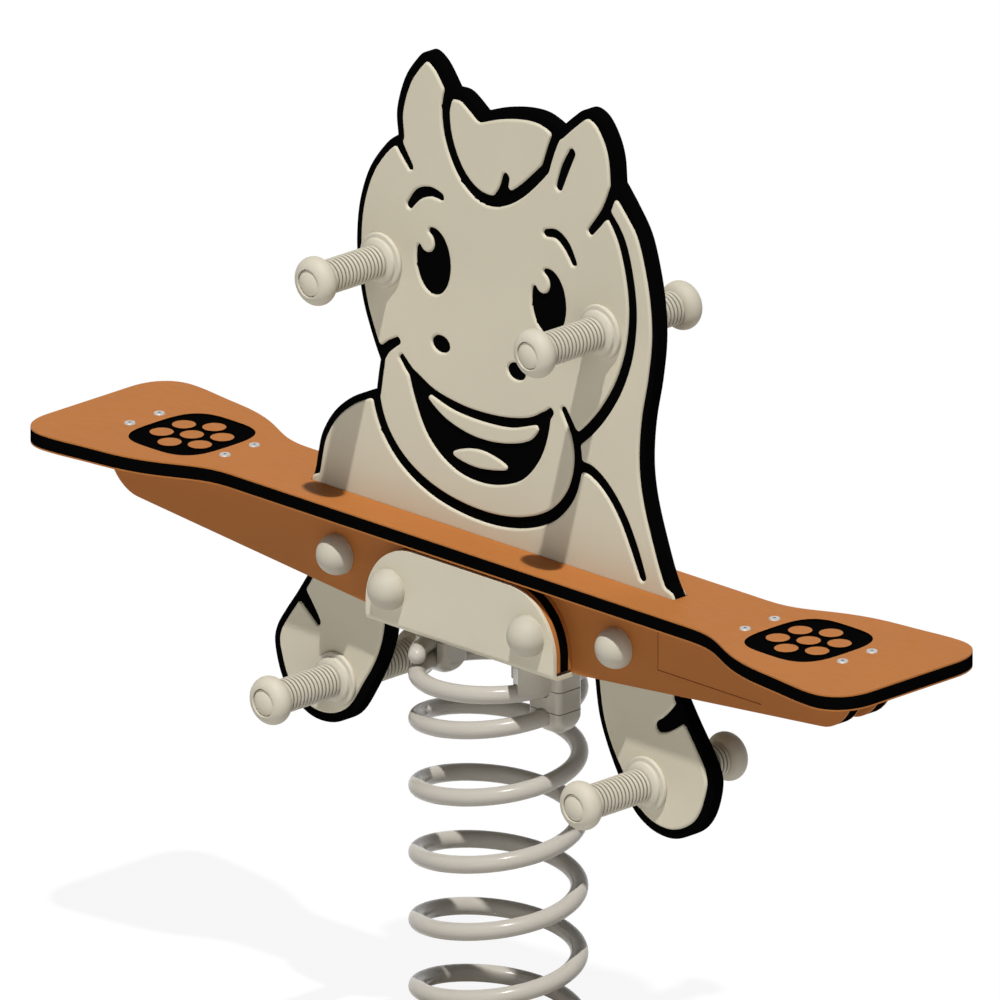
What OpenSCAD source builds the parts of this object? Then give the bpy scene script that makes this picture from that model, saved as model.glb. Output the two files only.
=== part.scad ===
// Two-seat spring rider: a pony panel and a shaped plank on one coil spring.
// Millimetres. +Z up, +X along the plank, origin on the ground under the spring's axis.

/* [Ground plate] */
// Side of the square ground plate
base_side = 400; // [380:5:520]
// Thickness of the ground plate
base_t = 12; // [11:0.5:20]
// Corner radius of the ground plate
base_corner = 30; // [10:1:40]
// Spacing of the four anchor holes, both ways
anchor_spacing = 320; // [300:5:340]
// Diameter of an anchor hole
anchor_d = 14; // [10:0.5:20]

/* [Spring] */
// Diameter of the spring wire
wire_d = 20; // [16:0.5:22]
// Mean diameter of the coil
coil_d = 180; // [160:1:200]
// Turns from end to end
coil_turns = 8.25; // [7.25:1:9.25]
// Climb of one clamped turn
dead_pitch = 25; // [22:0.1:27]
// Climb of one working turn
active_pitch = 79; // [60:0.5:90]
// Turns at each end before the coil opens
dead_turns = 1.49; // [1.45:0.01:1.55]
// Turns over which the pitch changes
pitch_blend = 0.5; // [0.3:0.05:0.6]
// Space between the end of the wire and the plate it faces
end_gap = 6; // [4:0.5:12]

/* [Spring clamps] */
// How far a clamp block reaches inside the wire's centre line
block_in = 55; // [45:1:60]
// How far a clamp cap reaches inside the wire's centre line
clamp_in = 26; // [24:1:30]
// How far a clamp reaches outside the wire's centre line
clamp_out = 24; // [23:1:28]
// Width of a clamp along the wire
clamp_w = 38; // [30:1:44]
// Thickness of a right cap past the wire's centre line
right_cap = 22; // [21:0.5:30]
// Thickness of a left cap past the wire's centre line
left_cap = 16; // [15:0.5:24]
// Corner radius of a clamp in plan
clamp_corner = 7; // [3:0.5:10]
// Radius of a cap's far corners
cap_corner = 15; // [6:0.5:16]
// Height of the right block's joint past the wire's centre line
seam_shift = 1; // [1:0.5:7]
// Height of the right cap's joint short of the wire's centre line
cap_shift = 6; // [1:0.5:7]
// Half angle of the jaws that follow the wire beside the right block
jaw_angle = 33; // [20:1:36]
// Reach of the jaws to each side of the wire's centre line
jaw_reach = 11.5; // [11:0.5:14]
// Radius of a cap's long edges
cap_edge = 10; // [6:0.5:10]
// Gap between the wire and its groove
groove_gap = 0.6; // [0.5:0.1:1]
// Diameter of a clamp screw
clamp_screw_d = 8; // [6:0.5:8]
// Diameter of a clamp screw's head
socket_d = 13; // [12:0.5:14]
// Height of a clamp screw's head
socket_h = 8; // [6:0.5:9]
// Width across flats of the drive in a clamp screw
socket_key = 6; // [4:0.5:7]
// Space between a lower screw's head and the ground
head_sink = 0.5; // [0.3:0.1:1]
// Solid end of a cap past its screwed holes
tap_end = 8; // [7:0.5:12]
// Diameter of a clamp screw's washer
clamp_washer_d = 16; // [14:0.5:18]
// Thickness of a clamp screw's washer
clamp_washer_t = 1.6; // [1:0.1:2.5]

/* [Saddle] */
// Sheet thickness of the saddle bracket
saddle_t = 5; // [4:0.5:8]
// Length of the saddle bracket
saddle_l = 294; // [280:1:310]
// Radius of the saddle's top corners
saddle_r = 72; // [40:1:80]
// Outside radius of the saddle's bends
saddle_bend = 8; // [8:0.5:12]
// Gap between the saddle's sides and the plank
saddle_gap = 3.7; // [1:0.1:10]
// Gap between a cheek spacer and the saddle's floor
cheek_gap = 4; // [3.5:0.1:10]
// Thickness of a cheek spacer
cheek_t = 23.5; // [15:0.5:30]

/* [Beam boards] */
// Thickness of a beam board
board_t = 19; // [15:0.5:25]
// Depth of a beam board at mid length
board_h = 95; // [90:1:110]
// Overall length of a beam board
board_l = 1168; // [1156:2:1220]
// Length of the level part of the lower edge
board_flat = 330; // [300:2:400]
// Rise of the lower edge from the middle to the end
board_rise = 35; // [10:1:45]
// Length of the rounded end
board_nose = 50; // [20:1:60]
// Thickness of a shim between board and panel
shim_t = 2.7; // [1:0.1:6]
// Outer diameter of a shim
shim_d = 36; // [28:1:44]
// Width of the fine line cut into a board
line_w = 1.4; // [0.8:0.1:3]
// Depth of the fine line cut into a board
line_d = 1.2; // [0.5:0.1:3]
// Distance of the line's upright from mid length
line_x = 281; // [270:1:300]
// Length of the level line
line_l = 160; // [60:1:180]
// Depth of the level line below the plank
line_drop = 58; // [40:1:64]

/* [Plank] */
// Overall length of the plank
plank_l = 1290; // [1270:2:1330]
// Thickness of the plank
plank_t = 19; // [15:0.5:30]
// Width of a seat
seat_w = 236; // [200:1:280]
// Width of the plank between the seats
waist_w = 122; // [110:1:160]
// Length of the narrow part
waist_l = 720; // [690:2:740]
// Length of a seat's rounded corner
seat_corner = 46; // [30:1:60]
// Distance of a seat's centre from mid length
seat_x = 482; // [476:1:486]
// Length of the sunk pad on a seat
pad_l = 116; // [96:1:124]
// Width of the sunk pad on a seat
pad_w = 130; // [110:1:160]
// Depth of the sunk pad
pad_deep = 3; // [1:0.1:6]
// Diameter of a raised dot on the pad
dot_d = 27; // [16:0.5:30]
// Spacing of the raised dots
dot_step = 35; // [32:0.5:36]

/* [Panel] */
// Thickness of the pony panel
panel_t = 21.6; // [18:0.2:24]
// Reach of the panel's foot to the left
foot_left = 283; // [281:1:292]
// Reach of the panel's foot to the right
foot_right = 284; // [282:1:292]
// Gap between the panel and its slot
slot_gap = 0.5; // [0.3:0.1:2]
// Distance of a hoof's lowest point from mid length
hoof_x = 265; // [255:1:275]
// Drop of a hoof below the beam
hoof_drop = 168; // [150:1:200]

/* [Grips] */
// Distance of a handle from mid length
handle_x = 171; // [150:1:180]
// Height of a handle above the seat
handle_z = 285; // [200:1:400]
// Distance of a foot rest in from the hoof's lowest point
rest_in = 22; // [0:1:35]
// Height of a foot rest above the hoof's lowest point
rest_up = 57; // [45:1:75]
// Length of a grip from the panel to its end
grip_l = 116; // [100:1:150]
// Diameter of the flange against the panel
flange_d = 63; // [52:1:80]
// Thickness of the flange
flange_t = 5; // [3:0.5:8]
// Diameter of the step on the flange
step_d = 48; // [42:1:56]
// Thickness of the step
step_t = 4; // [2:0.5:8]
// Diameter over the ribs
rib_d = 39; // [34:0.5:41]
// Depth of the furrows between the ribs
rib_deep = 1.6; // [0.5:0.1:2.5]
// Number of ribs
rib_count = 14; // [8:1:18]
// Diameter of the ball end
ball_d = 56; // [50:1:64]
// Length of the ball end
ball_l = 26; // [25:1:32]
// Diameter of the recess in the ball end
recess_d = 32; // [30.5:0.5:36]
// Depth of the recess
recess_deep = 24; // [22:0.5:26]
// Gap round the plug in the recess
plug_gap = 1; // [0.3:0.1:1.2]
// Wall of the plug
plug_wall = 2.4; // [1.5:0.1:2.6]

/* [Fasteners] */
// Diameter of the bolts and rods
bolt_d = 12; // [10:0.5:12]
// Clearance of a bolt hole on diameter
bolt_play = 1; // [0.4:0.1:1.6]
// Clearance of a screwed hole on diameter
thread_play = 0.3; // [0.1:0.1:0.6]
// Width across flats of the nuts and bolt heads
nut_flats = 18; // [17:0.5:19]
// Thickness of a nut
nut_h = 10; // [6:0.5:11]
// Thickness of a bolt head
head_h = 7.5; // [5:0.5:9]
// Diameter of a washer
washer_d = 24; // [22:0.5:25]
// Thickness of a washer
washer_t = 2.5; // [1.5:0.1:3]
// Length of thread standing past a nut
thread_end = 3; // [1:0.5:4]
// Distance of a beam bolt from mid length
beam_bolt_x = 218; // [205:1:240]
// Distance of a saddle bolt from mid length
saddle_bolt_x = 109; // [90:1:115]
// Height of the beam bolts above the lower edge of the beam
beam_bolt_z = 47.5; // [40:0.5:60]
// Height of the saddle bolts above the lower edge of the beam
saddle_bolt_z = 41; // [38:0.5:48]
// Diameter of a bolt cover
cover_d = 47; // [44:0.5:52]
// Thickness of the disc under a bolt cover
cover_base = 2.5; // [2:0.1:5]
// Gap round the bolt head inside a cover
cover_gap = 2; // [1:0.1:3]
// Distance of the inner seat screws from mid length
inner_screw_x = 406.5; // [400:0.5:410]
// Distance of the outer seat screws from mid length
outer_screw_x = 557; // [550:0.5:560]
// Diameter of a seat screw's shank
screw_d = 6; // [4:0.5:8]
// Length of a seat screw under its head
screw_l = 50; // [35:1:55]
// Diameter of a seat screw's head
screw_head_d = 13; // [11:0.5:16]
// Height of a seat screw's head
screw_head_h = 1.5; // [1.5:0.5:4]
// Diameter of the drive hole in a seat screw
drive_d = 4; // [3:0.5:4.5]
// Depth of the drive hole in a seat screw
drive_deep = 2.5; // [1.5:0.5:4]

/* [Hidden] */
$fn = 64;
// Overshoot of every cut past the face it opens
past = 1;
beige = "#c1b8a3";
pale = "#cdc6b4";
orange = "#bc7a46";
steel = "#b4b4b0";
coat = "#beb7ad";

coil_r = coil_d / 2;
wire_r = wire_d / 2;
groove_r = wire_r + groove_gap;
pitch_step = active_pitch - dead_pitch;
// Plan angle of the wire's upper end, which shows at the front
top_angle = 225;
bottom_angle = top_angle - 360 * coil_turns;
spring_z = base_t + end_gap + wire_r;

panel_y = panel_t / 2;
board_y = panel_y + shim_t;
cheek_y = board_y + board_t;
side_y = cheek_y + cheek_t;
saddle_y = side_y + saddle_t;
hole_d = bolt_d + bolt_play;
nut_r = nut_flats / 2 / cos(30);
clamp_hole_d = clamp_screw_d + bolt_play;
clamp_tap_d = clamp_screw_d + thread_play;
// Distances of a clamp's two screws from the spring's axis
clamp_screw_x = [coil_r - (clamp_in + groove_r) / 2, coil_r + (clamp_out + groove_r) / 2];

// Share of the full pitch change reached at v turns from its middle, and its running sum
function eased(v) = let (s = min(1, max(0, v / pitch_blend + 0.5))) s * s * (3 - 2 * s);
function eased_sum(v) =
    let (s = min(1, max(0, v / pitch_blend + 0.5)))
    pitch_blend * (s * s * s - s * s * s * s / 2) + max(0, v - pitch_blend / 2);
// Height and climb per turn of the wire at u turns from its lower end
function wire_rise(u) = dead_pitch * u
    + pitch_step * (eased_sum(u - dead_turns) - eased_sum(u - coil_turns + dead_turns));
function wire_pitch(u) = dead_pitch
    + pitch_step * (eased(u - dead_turns) - eased(u - coil_turns + dead_turns));
function wire_slope(u) = atan(wire_pitch(u) / (PI * coil_d));
function wire_point(u) = let (a = bottom_angle + 360 * u)
    [coil_r * cos(a), coil_r * sin(a), spring_z + wire_rise(u)];

spring_h = wire_rise(coil_turns);
middle_z = spring_z + spring_h / 2;
saddle_z = spring_z + spring_h + wire_r + end_gap;
board_z = saddle_z + saddle_t;
plank_z = board_z + board_h;
seat_z = plank_z + plank_t;
hoof_z = board_z - hoof_drop;

// Turns from the end at which the wire first passes the right and the left clamp
right_u = 0.625;
left_u = 0.125;

// Cubic curve with end points a, d and handles b, c, without its last point
function curve(a, b, c, d, steps) = [for (i = [0 : steps - 1]) let (t = i / steps, s = 1 - t)
    a * s * s * s + b * 3 * s * s * t + c * 3 * s * t * t + d * t * t * t];
// Smooth line through the points of a run, without its last point
function knot(p, i) = p[min(len(p) - 1, max(0, i))];
function smooth(p, steps) = [for (i = [0 : len(p) - 2]) for (k = [0 : steps - 1])
    let (t = k / steps, a = knot(p, i - 1), b = p[i], c = p[i + 1], d = knot(p, i + 2))
    (2 * b + (c - a) * t + (2 * a - 5 * b + 4 * c - d) * t * t
        + (3 * b - a - 3 * c + d) * t * t * t) / 2];
function flipped(p) = [for (i = [len(p) - 1 : -1 : 0]) [-p[i][0], p[i][1]]];

// Places of the fasteners and grips as [x, z]
beam_bolt_at = [for (s = [-1, 1]) [s * beam_bolt_x, board_z + beam_bolt_z]];
saddle_bolt_at = [for (s = [-1, 1]) [s * saddle_bolt_x, board_z + saddle_bolt_z]];
handle_at = [for (s = [-1, 1]) [s * handle_x, seat_z + handle_z]];
rest_at = [for (s = [-1, 1]) [s * (hoof_x - rest_in), hoof_z + rest_up]];
seat_screw_at = [for (s = [-1, 1], x = [inner_screw_x, outer_screw_x], side = [-1, 1])
    [s * x, side * (board_y + board_t / 2)]];

// Rectangle with round corners
module round_rect(l, w, r) {
    square([l - 2 * r, w], center = true);
    square([l, w - 2 * r], center = true);
    for (x = [-1, 1], y = [-1, 1])
        translate([x * (l / 2 - r), y * (w / 2 - r)]) circle(r);
}

// Upright rectangle of length l from z0 to z1 with its upper corners rounded
module arch(l, z0, z1, r) {
    translate([-l / 2, z0]) square([l, z1 - r - z0]);
    translate([r - l / 2, z0]) square([l - 2 * r, z1 - z0]);
    for (s = [-1, 1]) intersection() {
        translate([s * (l / 2 - r), z1 - r]) circle(r);
        translate([-l / 2, z1 - r]) square([l, r]);
    }
}

// Draws its child, made along +Z from z = 0, outwards from the plane |y| on one side
module outward(side, at, y) {
    translate([at[0], side * y, at[1]]) rotate([-90 * side, 0, 0]) children();
}

// Extrudes a drawing of the XZ plane from y0 to y1
module upright(y0, y1) {
    translate([0, y1, 0]) rotate([90, 0, 0]) linear_extrude(y1 - y0) children();
}

// Round holes along Y through everything at the given places
module cross_holes(places, d) {
    for (p = places)
        translate([p[0], 0, p[1]]) rotate([90, 0, 0])
            cylinder(d = d, h = 2 * saddle_y + 2 * past, center = true);
}

module hex_nut(h) {
    difference() {
        cylinder(r = nut_r, h = h, $fn = 6);
        translate([0, 0, -past]) cylinder(d = bolt_d + thread_play, h = h + 2 * past);
    }
}

module washer(d, t, hole = hole_d) {
    difference() {
        cylinder(d = d, h = t);
        translate([0, 0, -past]) cylinder(d = hole, h = t + 2 * past);
    }
}

// Ground plate with anchor holes, and holes sunk from below for the lower clamps' screws
module base_plate() {
    color(beige) difference() {
        linear_extrude(base_t) round_rect(base_side, base_side, base_corner);
        for (x = [-1, 1], y = [-1, 1])
            translate([x, y, 0] * anchor_spacing / 2 - [0, 0, past])
                cylinder(d = anchor_d, h = base_t + 2 * past);
        for (s = [-1, 1]) {
            clamp_holes(s, -past, base_t + past, clamp_hole_d);
            clamp_holes(s, -past, socket_h + head_sink, socket_d + bolt_play);
        }
    }
}

// Holes of one clamp's screws from z0 to z1
module clamp_holes(s, z0, z1, d) {
    for (x = clamp_screw_x) translate([s * x, 0, z0]) cylinder(d = d, h = z1 - z0);
}

// Groove that holds the wire at u turns on one side, drawn out by tall, upwards if it is positive
module wire_groove(s, u, tall = 0) {
    translate([0, 0, spring_z + wire_rise(u)]) rotate([s * wire_slope(u), 0, 0])
        rotate_extrude($fn = 96) {
            translate([coil_r, 0]) circle(groove_r);
            if (tall != 0) {
                translate([coil_r - groove_r, min(0, tall)]) square([2 * groove_r, abs(tall)]);
                translate([coil_r, tall]) circle(groove_r);
            }
        }
}

// Plain piece of a clamp from z0 to z1, reaching in by inner
module clamp_blank(s, z0, z1, inner) {
    translate([s * (coil_r + (clamp_out - inner) / 2), 0, z0])
        linear_extrude(z1 - z0) round_rect(inner + clamp_out, clamp_w, clamp_corner);
}

// Plain cap with screwed holes that stop short of its rounded end
module cap_blank(s, z0, z1) {
    difference() {
        intersection() {
            clamp_blank(s, z0, z1, clamp_in);
            translate([s * (coil_r + (clamp_out - clamp_in) / 2), 0, 0])
                upright(-clamp_w, clamp_w) arch(clamp_in + clamp_out, z0, z1, cap_corner);
            translate([s * coil_r, 0, 0]) rotate([0, 0, 90])
                upright(-2 * clamp_in, 2 * clamp_in) arch(clamp_w, z0, z1, cap_edge);
        }
        clamp_holes(s, z0 - past, z1 - tap_end, clamp_tap_d);
    }
}

// Heights of the joints of the two clamps, measured on the lower end
right_z = [spring_z + wire_rise(right_u), spring_z + wire_rise(right_u + 1)];
left_z = [spring_z + wire_rise(left_u), spring_z + wire_rise(left_u + 1)];
seam_z = right_z[0] + seam_shift;
cap_z = right_z[1] - cap_shift;
right_top = right_z[1] + right_cap;
left_top = left_z[1] + left_cap;

// Jaws that follow the wire to both sides of the right block
module right_jaws() {
    rotate([0, 0, -jaw_angle]) rotate_extrude(angle = 2 * jaw_angle, $fn = 96)
        translate([coil_r - jaw_reach, base_t]) square([2 * jaw_reach, seam_z - base_t]);
}

// The right block is open upwards, so that the wire can be laid in
module right_clamp_block() {
    color(coat) difference() {
        union() {
            clamp_blank(1, base_t, seam_z, block_in);
            right_jaws();
        }
        clamp_holes(1, base_t - past, seam_z + past, clamp_hole_d);
        wire_groove(1, right_u, seam_shift + 2 * past);
    }
}

module right_clamp_middle() {
    color(coat) difference() {
        clamp_blank(1, seam_z, cap_z, clamp_in);
        clamp_holes(1, seam_z - past, cap_z + past, clamp_hole_d);
        wire_groove(1, right_u);
        wire_groove(1, right_u + 1);
    }
}

module right_clamp_cap() {
    color(coat) difference() {
        cap_blank(1, cap_z, right_top);
        wire_groove(1, right_u + 1, -cap_shift - 2 * past);
    }
}

module left_clamp_block() {
    color(coat) difference() {
        clamp_blank(-1, base_t, left_z[0], block_in);
        clamp_holes(-1, base_t - past, left_z[0] + past, clamp_hole_d);
        wire_groove(-1, left_u);
    }
}

// The left cap straddles two turns that lie close together, in one tall groove
module left_clamp_cap() {
    color(coat) difference() {
        cap_blank(-1, left_z[0], left_top);
        wire_groove(-1, left_u, left_z[1] - left_z[0]);
    }
}

// Turns a lower clamp piece into the upper one
module at_top() {
    translate([0, 0, 2 * middle_z]) rotate([180, 0, 0]) children();
}

// Screws of both clamps, from the undersides of their heads at z0 into the caps
module clamp_screws(z0) {
    color(steel) for (c = [[1, right_top], [-1, left_top]], x = clamp_screw_x)
        translate([c[0] * x, 0, z0]) {
            cylinder(d = clamp_screw_d, h = c[1] - tap_end - past - z0);
            translate([0, 0, -socket_h]) difference() {
                cylinder(d = socket_d, h = socket_h);
                translate([0, 0, -past])
                    cylinder(r = socket_key / 2 / cos(30), h = socket_h / 2 + past, $fn = 6);
            }
        }
}

module lower_clamp_screws() {
    clamp_screws(socket_h + head_sink);
}

module upper_clamp_screws() {
    at_top() clamp_screws(base_t - saddle_t - clamp_washer_t);
}

module upper_clamp_washers() {
    color(steel) for (s = [-1, 1], x = clamp_screw_x)
        translate([s * x, 0, board_z]) washer(clamp_washer_d, clamp_washer_t, clamp_hole_d);
}

// The spring as one tube: rings of points along the wire's path
ring_sides = 10;
turn_rings = 36;
ring_count = round(coil_turns * turn_rings);
function ring_u(i) = coil_turns * i / ring_count;
function ring(i) =
    let (u = ring_u(i), a = bottom_angle + 360 * u, tilt = wire_slope(u), c = wire_point(u),
        out = [cos(a), sin(a), 0], up = [sin(a) * sin(tilt), -cos(a) * sin(tilt), cos(tilt)])
    [for (k = [0 : ring_sides - 1]) let (b = 360 * k / ring_sides)
        c + wire_r * (cos(b) * out + sin(b) * up)];
ring_points = [for (i = [0 : ring_count]) each ring(i)];
last_ring = ring_count * ring_sides;
ring_faces = concat(
    [for (i = [0 : ring_count - 1], k = [0 : ring_sides - 1])
        let (a = i * ring_sides + k, b = i * ring_sides + (k + 1) % ring_sides)
        each [[a, b, b + ring_sides], [a, b + ring_sides, a + ring_sides]]],
    [for (k = [1 : ring_sides - 2]) each [[0, k + 1, k], [last_ring, last_ring + k, last_ring + k + 1]]]);

// Least space between neighbouring turns, taken between the centres of their rings
coil_gap = min([for (i = [0 : ring_count - turn_rings / 2])
    for (j = [i + turn_rings / 2 : min(ring_count, i + 3 * turn_rings / 2)])
        norm(wire_point(ring_u(i)) - wire_point(ring_u(j)))]) - wire_d;
echo(str("least gap between turns of the spring: ", coil_gap, " mm"));  // coil_spring

module coil_spring() {
    color(coat) polyhedron(ring_points, ring_faces);
}

// Side outline shared by the saddle and the cheek spacers, from z0 up
module side_outline(z0) {
    arch(saddle_l, z0, plank_z - saddle_gap, saddle_r);
}

// Rounded trough from the floor up, as wide as 2 * half
module trough(half, r) {
    h = plank_z - saddle_z;
    translate([0, h / 2]) square([2 * half - 2 * r, h], center = true);
    translate([0, h / 2 + r / 2]) square([2 * half, h - r], center = true);
    for (s = [-1, 1]) translate([s * (half - r), r]) circle(r);
}

// Sheet steel channel that carries the beam
module saddle_bracket() {
    color(beige) difference() {
        intersection() {
            upright(-saddle_y, saddle_y) side_outline(saddle_z);
            translate([-saddle_l / 2, 0, saddle_z]) rotate([90, 0, 90]) linear_extrude(saddle_l)
                difference() {
                    trough(saddle_y, saddle_bend);
                    translate([0, saddle_t]) trough(side_y, saddle_bend - saddle_t);
                }
        }
        cross_holes(saddle_bolt_at, hole_d);
        for (s = [-1, 1]) clamp_holes(s, saddle_z - past, board_z + past, clamp_hole_d);
    }
}

module cheek_spacer(side) {
    color(orange) difference() {
        upright(side > 0 ? cheek_y : -side_y, side > 0 ? side_y : -cheek_y)
            side_outline(board_z + cheek_gap);
        cross_holes(saddle_bolt_at, hole_d);
    }
}

// Half outline of a beam board, from the middle of its lower edge to its upper end
board_half = concat(
    [[board_flat / 2, board_z]],
    curve([board_l / 2 - board_nose, board_z + board_rise],
        [board_l / 2 - board_nose / 2, board_z + board_rise * 1.05],
        [board_l / 2, board_z + board_rise + board_nose / 2], [board_l / 2, plank_z], 10),
    [[board_l / 2, plank_z]]);

module beam_board(side) {
    mid_y = side * (board_y + board_t / 2);
    face_y = side * cheek_y;
    color(orange) difference() {
        upright(mid_y - board_t / 2, mid_y + board_t / 2)
            polygon(concat(flipped(board_half), board_half));
        cross_holes(concat(beam_bolt_at, saddle_bolt_at), hole_d);
        for (p = seat_screw_at) if (p[1] * side > 0)
            translate([p[0], p[1], plank_z - screw_l + plank_t - past])
                cylinder(d = screw_d + thread_play, h = screw_l);
        // Fine L-shaped line on the outer face
        translate([-side * line_x, face_y, plank_z - line_drop / 2])
            cube([line_w, 2 * line_d, line_drop + line_w], center = true);
        translate([-side * (line_x + line_l / 2), face_y, plank_z - line_drop])
            cube([line_l, 2 * line_d, line_w], center = true);
    }
}

// Outline of the panel as runs of smooth line, x from mid length and z from the seat
head_runs = [
    [[-foot_left, 0], [-278, 14], [-274, 34], [-267, 59], [-248, 88], [-219, 112], [-182, 130]],
    [[-182, 130], [-179, 150], [-176, 166]],
    [[-176, 166], [-188, 190], [-202, 225], [-210, 262], [-213, 300], [-208, 345], [-192, 388],
        [-166, 422], [-148, 436]],
    [[-148, 436], [-150, 466], [-138, 504], [-120, 530], [-104, 543], [-84, 534], [-64, 509]],
    [[-64, 509], [-45, 508], [-20, 492]],
    [[-20, 492], [10, 503], [45, 511], [75, 512], [103, 503]],
    [[103, 503], [124, 522], [144, 536], [164, 532], [180, 514], [190, 490], [193, 460]],
    [[193, 460], [212, 438], [232, 410], [245, 372], [253, 332], [255, 290], [249, 243],
        [240, 200], [236, 162], [237, 130], [244, 96], [259, 52], [272, 20], [foot_right, 0]]];
// Outline of a leg, x from the hoof's lowest point and z above it
leg_run = [[25, hoof_drop], [43, 141], [61, 116], [74, 95], [78, 74], [69, 41], [52, 18], [25, 3],
    [0, 0], [-25, 6], [-48, 22], [-69, 53], [-87, 86], [-100, 121], [-107, hoof_drop]];
run_steps = 5;
// Room above the saddle's floor for the clamp screws' heads
head_room = clamp_washer_t + socket_h + 2;
// Reach of a leg to its inner side at the beam, and how far it leans in above that
leg_in = -leg_run[len(leg_run) - 1][0];
leg_lean = 3;
right_leg = [for (p = smooth(leg_run, run_steps)) [hoof_x + p[0], hoof_z + p[1]]];
panel_line = concat(
    [for (run = head_runs) each [for (p = smooth(run, run_steps)) p + [0, seat_z]]],
    [[foot_right, seat_z], [foot_right, plank_z - slot_gap],
        [hoof_x + leg_run[0][0], plank_z - slot_gap]],
    right_leg,
    [[hoof_x - leg_in, board_z], [hoof_x - leg_in - leg_lean, board_z + head_room],
        [leg_in + leg_lean - hoof_x, board_z + head_room], [leg_in - hoof_x, board_z]],
    flipped(right_leg),
    [[-hoof_x - leg_run[0][0], plank_z - slot_gap], [-foot_left, plank_z - slot_gap]]);

module pony_panel() {
    color(beige) difference() {
        upright(-panel_y, panel_y) polygon(panel_line);
        cross_holes(concat(beam_bolt_at, saddle_bolt_at, handle_at, rest_at), hole_d);
    }
}

module panel_shims() {
    color(steel) for (p = concat(beam_bolt_at, saddle_bolt_at), side = [-1, 1])
        outward(side, p, panel_y) washer(shim_d, shim_t);
}

// Where the plank's flank turns from the neck into the seat, from the end and from the full width
flank_in = 125;
flank_step = 9;
flank = [plank_l / 2 - flank_in, seat_w / 2 - flank_step];
// Handles of the plank's curves
neck_pull = [60, 70];
flank_pull = [35, 3.5];
corner_pull = 24;
// One quarter of the plank's outline, from the waist to the end
plank_quarter = concat(
    curve([waist_l / 2, waist_w / 2], [waist_l / 2 + neck_pull[0], waist_w / 2],
        [waist_l / 2 + neck_pull[1], seat_w / 2 - 2 * flank_step], flank, 12),
    curve(flank, flank + flank_pull, [plank_l / 2 - seat_corner - corner_pull, seat_w / 2],
        [plank_l / 2 - seat_corner, seat_w / 2], 6),
    curve([plank_l / 2 - seat_corner, seat_w / 2], [plank_l / 2 - seat_corner / 3, seat_w / 2],
        [plank_l / 2, seat_w / 2 - seat_corner / 2], [plank_l / 2, seat_w / 2 - 1.15 * seat_corner],
        12),
    [[plank_l / 2, seat_w / 2 - 1.15 * seat_corner]]);
plank_half = concat(plank_quarter,
    [for (i = [len(plank_quarter) - 1 : -1 : 0]) [plank_quarter[i][0], -plank_quarter[i][1]]]);

// Sunk pad of a seat: a rounded oval with raised dots left standing
module pad_outline() {
    steps = 48;
    polygon([for (i = [0 : steps - 1]) let (a = 360 * i / steps)
        [pad_l / 2 * sign(cos(a)) * pow(abs(cos(a)), 0.6),
            pad_w / 2 * sign(sin(a)) * pow(abs(sin(a)), 0.6)]]);
}

module seat_pad_cut() {
    difference() {
        translate([0, 0, -pad_deep]) linear_extrude(pad_deep + past) pad_outline();
        for (i = [0 : 6])
            translate([0, 0, -2 * pad_deep])
                translate(i == 0 ? [0, 0, 0] : dot_step * [cos(60 * i + 30), sin(60 * i + 30), 0])
                    cylinder(d = dot_d, h = 3 * pad_deep + past);
    }
}

module seat_plank() {
    slot_l = foot_left + foot_right + 2 * slot_gap;
    color(orange) difference() {
        translate([0, 0, plank_z]) linear_extrude(plank_t)
            polygon(concat(plank_half, [for (p = plank_half) -p]));
        translate([(foot_right - foot_left) / 2, 0, plank_z + plank_t / 2])
            cube([slot_l, panel_t + 2 * slot_gap, plank_t + 2 * past], center = true);
        for (s = [-1, 1]) translate([s * seat_x, 0, seat_z]) seat_pad_cut();
        for (p = seat_screw_at) translate([p[0], p[1], plank_z - past])
            cylinder(d = screw_d + bolt_play, h = plank_t + 2 * past);
    }
}

module seat_screws() {
    color(steel) for (p = seat_screw_at) translate([p[0], p[1], seat_z]) difference() {
        union() {
            translate([0, 0, -screw_l]) cylinder(d = screw_d, h = screw_l + past);
            cylinder(d1 = screw_head_d, d2 = screw_head_d - screw_head_h, h = screw_head_h);
        }
        translate([0, 0, screw_head_h - drive_deep]) cylinder(d = drive_d, h = drive_deep + past, $fn = 6);
    }
}

// Bolts through the beam: head at the front, nut at the back
module through_bolts(places, y) {
    seat = y + cover_base + washer_t;
    color(steel) for (p = places) {
        outward(-1, p, seat) cylinder(r = nut_r, h = head_h, $fn = 6);
        outward(1, p, -seat) cylinder(d = bolt_d, h = 2 * seat + nut_h + thread_end);
    }
}

module through_nuts(places, y) {
    color(steel) for (p = places) outward(1, p, y + cover_base + washer_t) hex_nut(nut_h);
}

module cover_discs(places, y) {
    color(pale) for (p = places, side = [-1, 1]) outward(side, p, y) washer(cover_d, cover_base);
}

// Domed cover with room for a nut and the thread past it
module bolt_covers(places, y) {
    color(pale) for (p = places, side = [-1, 1]) outward(side, p, y + cover_base) difference() {
        rotate_extrude() intersection() {
            circle(d = cover_d);
            square(cover_d);
        }
        translate([0, 0, -past])
            cylinder(r = nut_r + cover_gap, h = past + washer_t + nut_h + thread_end + cover_gap / 2);
    }
}

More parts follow.
